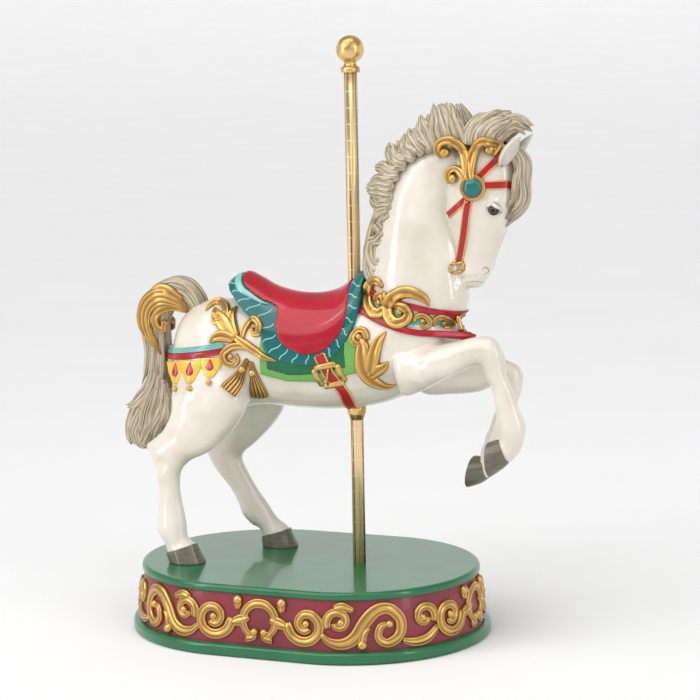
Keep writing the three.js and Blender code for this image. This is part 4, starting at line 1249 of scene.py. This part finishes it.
TAIL = [
    [-131, 362, 9], [-142, 381, 12], [-155, 391, 15.5], [-171, 391, 18], [-184, 379, 18], [-190, 358, 16],
    [-190, 337, 14], [-190, 315, 13], [-193, 293, 13], [-197, 272, 15], [-204, 252, 18],
    [-208, 235, 18], [-213, 220, 14], [-214, 212, 8],
]
TAIL_LOCKS = [
    [[-190, 312, 7], [-195, 288, 8], [-204, 268, 9], [-216, 259, 7], [-232, 255, 0.8]],
    [[-190, 300, 7], [-199, 272, 9], [-214, 250, 10], [-224, 232, 9], [-226, 217, 6], [-219, 206, 0.8]],
    [[-187, 296, 7], [-194, 266, 9], [-208, 240, 10], [-218, 222, 8], [-214, 208, 5], [-203, 205, 0.8]],
    [[-184, 290, 7], [-187, 262, 9], [-196, 238, 9], [-206, 220, 7], [-212, 206, 0.8]],
    [[-182, 285, 6], [-180, 262, 8], [-183, 244, 8], [-192, 228, 6], [-198, 216, 0.8]],
    [[-181, 280, 6], [-176, 260, 7], [-175, 246, 6], [-182, 232, 0.8]],
]
bm = carving()
tail_mass = [[x, 0, z, half] for x, z, half in TAIL]
lock(bm, tail_mass, Vector((0, -1, 0)), grooved(26, 156, 0.12), 0.6, 0.9, (0.02, 0.08), 8)
for path in TAIL_LOCKS:
    clump(bm, path, -1, (9, 13), wave=1.6)
    clump(bm, path, 1, (9, 13), wave=1.4)
ARCH_LOCKS = [
    [
        [-130, 366, 6], [-138, 385, 8], [-152, 398, 9], [-170, 400, 9], [-188, 390, 9], [-198, 368, 8],
        [-198, 345, 8], [-196, 322, 7], [-199, 300, 7], [-206, 282, 1],
    ],
    [
        [-134, 360, 6], [-146, 378, 8], [-160, 386, 9], [-174, 384, 9], [-184, 368, 9], [-186, 346, 8],
        [-186, 322, 8], [-186, 300, 7], [-186, 282, 1],
    ],
]
for side in (-1, 1):
    for path in ARCH_LOCKS:
        clump(bm, path, side, (8, 11), parts=3, wave=1.0, share=0.58)
tail = piece_of("tail", bm, hair)
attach(tail, "root")
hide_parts("horse")

# Gilt acanthus clasps the tail's arch on both sides.
TAIL_ACANTHUS = [
    [
        [-144, 371, 2], [-158, 383, 8], [-176, 389, 12], [-193, 381, 12], [-202, 364, 10],
        [-199, 347, 8], [-190, 334, 5], [-180, 318, 0.8],
    ],
    [[-150, 385, 3], [-164, 395, 6], [-178, 399, 6], [-192, 393, 1]],
    [
        [-146, 370, 2], [-160, 376, 4], [-174, 375, 5], [-185, 366, 5], [-186, 354, 4.4],
        [-178, 347, 4], [-170, 352, 3.4], [-173, 360, 2.6],
    ],
]
bm = carving()
skin = skin_of(tail)
wide_ridge = ridged(6, 48, 0.2, 0.55)
for side in (-1, 1):
    for path, profile in zip(TAIL_ACANTHUS, (wide_ridge, ridge, ridge)):
        spots, halves = laid(skin, path, side, 7)
        spots = evened(spots, 10)
        rises = [min(HIGHEST, half + 2) for half in halves]
        sweep(bm, stations_of(spots, halves, rises, (0.05, 0.08)), profile)
    spot, out = spot_on(skin, -176.5, 355.5, side)
    ball(bm, spot + out * 3 * MM, 3.8)
acanthus = piece_of("tail_acanthus", bm, gilding)
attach(acanthus, "root")
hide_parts("horse")


# ---- Plinth and its frieze ------------------------------------------------------------------------
# An oval cast plinth: green enamel foot and top plate, and a maroon wall that carries a gilt frieze
# of scrolls in relief.
PLINTH = {"straight": 57, "foot": 158.5, "wall_low": 150, "wall_high": 144, "plate": 146.5}
LEVEL = {"foot": 13, "frieze": 70.5, "top": 79.3}
WALL_MIDDLE = (PLINTH["wall_low"] + PLINTH["wall_high"]) / 2


def oval_loop(bm, radius, z, segments=144):
    """A ring at one level: a circle whose two halves are moved apart along X."""
    place = Matrix.Translation((0, 0, z * MM)) @ Matrix.Rotation(math.pi / segments, 4, "Z")
    ring = bmesh.ops.create_circle(bm, segments=segments, radius=radius * MM, matrix=place)["verts"]
    for vert in ring:
        vert.co.x += math.copysign(PLINTH["straight"] * MM, vert.co.x)
    return ring


def oval_piece(name, profile, finish):
    bm = bmesh.new()
    bridge(bm, [oval_loop(bm, radius, z) for radius, z in profile])
    piece = piece_of(name, bm, finish)
    edges = piece.modifiers.new("smooth_sides", "WEIGHTED_NORMAL")
    edges.keep_sharp = False
    settle(piece)
    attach(piece, "root")
    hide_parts("plinth")
    return piece


GREEN, GREEN_SHADE = (0.006, 0.15, 0.052), (0.005, 0.115, 0.04)
plinth_green = lacquer("plinth_green_enamel", GREEN, GREEN_SHADE, 0.3, 0.6, None, 0.35)
maroon = lacquer("frieze_maroon_enamel", (0.24, 0.018, 0.035), (0.16, 0.010, 0.022), 0.45, 0.2)
foot, low, high, plate = (PLINTH[name] for name in ("foot", "wall_low", "wall_high", "plate"))
foot_profile = [
    (foot - 2.5, 0), (foot - 0.2, 1.6), (foot, 3), (foot, 9.5),
    (foot - 0.9, 11.8), (foot - 3, 13), (low + 0.6, 13.4), (low - 1, 13),
]
wall_profile = [(low - 1.5, 12.6), (low, 13.4), (WALL_MIDDLE, 42), (high, 70.2), (high - 2, 70.7)]
top_profile = [
    (high - 1, 70.4), (plate - 0.7, 70.8), (plate, 72), (plate, 75.5),
    (plate - 0.9, 78), (plate - 3.1, 79.2), (plate - 5.5, LEVEL["top"]),
]
oval_piece("plinth_foot", foot_profile, plinth_green)
oval_piece("plinth_wall", wall_profile, maroon)
oval_piece("plinth_top", top_profile, plinth_green)

# a quarter of the way round the wall
QUARTER = PLINTH["straight"] + math.pi / 2 * WALL_MIDDLE


def on_wall(run, z):
    """The wall's point and outward direction at a run along it from the middle of the front."""
    lap = 4 * QUARTER
    run = (run + lap / 2) % lap - lap / 2
    radius = np.interp(z, (LEVEL["foot"], LEVEL["frieze"]), (PLINTH["wall_low"], PLINTH["wall_high"]))
    flip, run = (1, run) if abs(run) <= QUARTER else (-1, math.copysign(2 * QUARTER - abs(run), run))
    sign = math.copysign(1, run)
    length = abs(run)
    if length <= PLINTH["straight"]:
        point, out = Vector((sign * length, -radius * flip, z)), Vector((0, -flip, 0))
    else:
        turn = (length - PLINTH["straight"]) / WALL_MIDDLE
        out = Vector((sign * math.sin(turn), -math.cos(turn) * flip, 0))
        point = Vector((sign * PLINTH["straight"], 0, z)) + out * radius
    return point * MM, out


def spiral(x, z, start, turn, wide, narrow, half, power=1.0, count=9):
    """Rows that wind round a centre, from a start angle through a turn, in degrees."""
    rows = []
    for k in range(count):
        share = k / (count - 1)
        radius = wide + (narrow - wide) * share ** power
        angle = math.radians(start + turn * share)
        rows.append([x + radius * math.cos(angle), z + radius * math.sin(angle), half * (1 - 0.35 * share)])
    return rows


# Rows are [run along the wall, z, half width]. The first five, the middle ring and its curls, are
# made again at each end of the oval, and so are the first four balls.
FRIEZE_BAND = (17, 66.5)
FRIEZE_RISE = 4.8
FRIEZE = [
    spiral(0, 42, 106, -166, 20, 20, 6, 1, 7) + [[15, 22, 5], [7, 24, 4.4], [6, 31, 3]],
    [[27, 53, 2.4], [27, 58, 4.6], [27, 63, 5]],
    [[12, 46, 3], [24, 41, 7], [36, 38, 3]],
    spiral(57, 42, 175, 505, 24, 5, 6.6, 0.8, 15),
    spiral(94, 47, 215, -380, 15, 5, 5.6, 0.8, 12),
    [[88, 61, 3.6], [99, 64, 5.6], [113, 59, 2.6]],
    [
        [74, 34, 2.4], [84, 25, 5], [98, 22, 7], [112, 29, 7.6], [124, 47, 7.8], [137, 59, 7.4],
        [152, 60, 7], [164, 47, 6.8], [162, 30, 6.4], [148, 22, 5.8], [138, 29, 5], [141, 41, 4.4],
        [150, 43, 3.4],
    ],
    [[120, 21, 5], [122, 33, 4.4], [129, 41, 1.6]],
    [[164, 24, 3], [180, 20, 5.6], [198, 23, 5.8], [212, 36, 3]],
]
FRIEZE_BALLS = [[6, 29, 4.6], [27, 64, 5.6], [57, 43, 4.4], [97, 46, 4.6], [120, 21, 6], [151, 43, 4.6]]
bm = carving()
ridge = ridged(3, 20, 0.24, 0.55)


def frieze_ribbon(bm, rows, flip, shift):
    smooth = smooth_rows(rows, 4)
    heights = np.clip([row[1] for row in smooth], *FRIEZE_BAND)
    spots = [on_wall(shift + flip * row[0], float(z)) for row, z in zip(smooth, heights)]
    halves = [row[2] for row in smooth]
    sweep(bm, stations_of(spots, halves, [FRIEZE_RISE] * len(smooth), (0.05, 0.06)), ridge)


for half_lap in (0, 2 * QUARTER):
    for flip in (-1, 1):
        for rows in FRIEZE:
            frieze_ribbon(bm, rows, flip, half_lap)
        for rows in FRIEZE[:5]:
            frieze_ribbon(bm, rows, -flip, half_lap + flip * QUARTER)
        for x, z, radius in FRIEZE_BALLS:
            spot, out = on_wall(half_lap + flip * x, z)
            ball(bm, spot + out * 1.5 * MM, radius)
        for x, z, radius in FRIEZE_BALLS[:4]:
            spot, out = on_wall(half_lap + flip * (QUARTER - x), z)
            ball(bm, spot + out * 1.5 * MM, radius)
frieze = piece_of("frieze_scrolls", bm, gilding)
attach(frieze, "root")
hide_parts("plinth")


# ---- Pole, finial and belly collar ----------------------------------------------------------------
# A polished brass tube stands in the plinth and passes up through the horse. A turned ball finial
# screws on its top, and a small collar closes the hole under the belly.
POLE = {"x": 63, "radius": 7.5, "low": 70, "high": 656}
FINIAL = {"radius": 15.97, "z": 676}
SCORED_EVERY = 18.5


def turned(name, profile, finish, replaced):
    """A turned piece: its [radius, z] profile spun about the pole's line."""
    bm = bmesh.new()
    last = None
    for radius, z in profile:
        vert = bm.verts.new(((POLE["x"] + radius) * MM, 0, z * MM))
        if last:
            bm.edges.new((last, vert))
        last = vert
    bmesh.ops.spin(
        bm, geom=bm.verts[:] + bm.edges[:], cent=(POLE["x"] * MM, 0, 0), axis=(0, 0, 1),
        angle=2 * math.pi, steps=72, use_merge=True,
    )
    bmesh.ops.remove_doubles(bm, verts=bm.verts, dist=1e-6)
    piece = piece_of(name, bm, finish)
    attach(piece, "root")
    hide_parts(replaced)
    return piece


def polish(name, stretch, scale, bright, deep, metal):
    """Polished brass under clear lacquer, its colour banded by a noise; on the tube, painted reflection
    streaks.
    """
    finish, tree, shader = material_of(name)
    # deep, bright, deep: stretched along the tube, these bands are painted reflections
    streaks = [(0.38, deep), (0.47, bright), (0.54, bright), (0.62, deep)]
    tint = ramp(tree, noise(tree, scale, 2, stretch), streaks)
    shader.inputs["Metallic"].default_value = metal
    shader.inputs["Roughness"].default_value = 0.24
    return finish, tree, shader, tint


BRASS, BRASS_DEEP = (0.78, 0.54, 0.22), (0.50, 0.30, 0.10)
# the tube's bright and dark colours are painted reflections, not tarnish
TUBE_REFLECTION_BRIGHT, TUBE_REFLECTION_DARK, SCORE_HIGHLIGHT = (0.86, 0.64, 0.34), (0.20, 0.115, 0.04), (0.88, 0.74, 0.50)
brass, tree, shader, tint = polish("brass_polish", (1, 1, 1), 34, BRASS, BRASS_DEEP, 0.78)
tree.links.new(tint, shader.inputs["Base Color"])
# painted reflections streak the tube lengthwise; its scored rings at even steps are painted highlight
tube, tree, shader, tint = polish("tube_painted_reflections", (1, 1, 0.01), 260, TUBE_REFLECTION_BRIGHT, TUBE_REFLECTION_DARK, 0.42)
apart = add(tree, "ShaderNodeSeparateXYZ")
tree.links.new(add(tree, "ShaderNodeTexCoord").outputs["Object"], apart.inputs[0])
turns = add(tree, "ShaderNodeMath", operation="DIVIDE")
tree.links.new(apart.outputs["Z"], turns.inputs[0])
turns.inputs[1].default_value = SCORED_EVERY * MM
share = add(tree, "ShaderNodeMath", operation="FRACT")
tree.links.new(turns.outputs[0], share.inputs[0])
plain, line = (0, 0, 0), (0.7, 0.7, 0.7)
# each scored ring is a lighter line of painted highlight in place of its groove
scored_highlight = ramp(tree, share.outputs[0], [(0.0, plain), (0.955, plain), (0.965, line), (1.0, line)])
tree.links.new(mixed(tree, "MIX", scored_highlight, tint, SCORE_HIGHLIGHT), shader.inputs["Base Color"])
heights = (POLE["low"], 240, 440, POLE["high"])
tube_side = [[POLE["radius"], z] for z in heights]
turned("brass_pole", [[0, POLE["low"]]] + tube_side + [[0, POLE["high"] + 0.5]], tube, "pole")
neck = [[0, 650], [10.6, 650], [11, 650.6], [11, 655.2], [10.2, 656], [8, 657], [7.2, 659.5]]
sphere = []
for angle in range(156, -1, -6):
    turn = math.radians(angle)
    sphere.append([FINIAL["radius"] * math.sin(turn), FINIAL["z"] + FINIAL["radius"] * math.cos(turn)])
turned("ball_finial", neck + sphere, brass, "finial")
collar_ring = [[7.6, 250], [10.6, 258], [11, 262], [11, 266], [10, 268], [7.6, 268.6], [7.6, 250]]
turned("belly_collar", collar_ring, brass, "belly_collar")


# ---- Floor, lights and camera ---------------------------------------------------------------------
# A plain pale floor that curves up into a round wall, and soft studio light. The camera looks from
# the horse's front right.
floor_paint, tree, shader = material_of("floor_paper")
paper = ramp(tree, noise(tree, 3, 2), [(0.3, (0.90, 0.90, 0.90)), (0.7, (0.88, 0.88, 0.88))])
tree.links.new(paper, shader.inputs["Base Color"])
shader.inputs["Roughness"].default_value = 0.9
# rings of (radius, height), in metres, half a millimetre under the plinth
FLOOR = [(2, 0), (18, 0), (25, 0.5), (31, 1.8), (36, 4.2), (39, 7.5), (40, 11), (40, 16)]
bm = bmesh.new()
rings = []
for radius, height in FLOOR:
    place = Matrix.Translation((0, 0, height - 0.5 * MM))
    rings.append(bmesh.ops.create_circle(bm, segments=96, radius=radius, matrix=place)["verts"])
bridge(bm, rings, ends=(0,))
floor = piece_of("floor", bm, floor_paint)
world = bpy.context.scene.world or bpy.data.worlds.new("studio")
bpy.context.scene.world = world
world.use_nodes = True
world.node_tree.nodes["Background"].inputs["Color"].default_value = (1, 1, 1, 1)
world.node_tree.nodes["Background"].inputs["Strength"].default_value = 0.44
SUNS = [["key_sun", (-1.0, -1.6, 2.0), 64, 1.65], ["fill_sun", (2.2, -1.6, 1.5), 50, 0.55]]
for name, spot, spread, power in SUNS:
    lamp = bpy.data.lights.new(name, "SUN")
    lamp.energy = power
    lamp.angle = math.radians(spread)
    light = bpy.data.objects.new(name, lamp)
    light.rotation_euler = (-Vector(spot)).to_track_quat("-Z", "Y").to_euler()
    bpy.context.scene.collection.objects.link(light)
BOXES = [
    ["left_box", (-1.3, -1.5, 0.9), (0.3, 1.7), 8],
    ["right_box", (2.2, -0.9, 0.9), (0.3, 1.7), 8],
    ["top_box", (0.1, -0.3, 2.4), (1.2, 0.8), 7],
]
for name, spot, (wide, tall), watts in BOXES:
    lamp = bpy.data.lights.new(name, "AREA")
    lamp.shape = "RECTANGLE"
    lamp.size = wide
    lamp.size_y = tall
    lamp.energy = watts
    light = bpy.data.objects.new(name, lamp)
    light.location = spot
    light.rotation_euler = (Vector((0, 0, 0.35)) - Vector(spot)).to_track_quat("-Z", "Y").to_euler()
    bpy.context.scene.collection.objects.link(light)
bpy.context.scene.view_settings.view_transform = "Standard"

EYE_POINT = Vector((1.08367, -2.52719, 0.73684))
AIM = Vector((0.0560, 0.0, 0.33098))
ROLL = math.radians(-1.0901)
camera = bpy.data.objects.new("camera", bpy.data.cameras.new("camera"))
camera.data.lens = 122.70
camera.data.sensor_width = 36
camera.location = EYE_POINT
camera.rotation_mode = "QUATERNION"
towards = (AIM - EYE_POINT).to_track_quat("-Z", "Y")
camera.rotation_quaternion = towards @ Matrix.Rotation(ROLL, 4, "Z").to_quaternion()
bpy.context.scene.collection.objects.link(camera)
bpy.context.scene.camera = camera
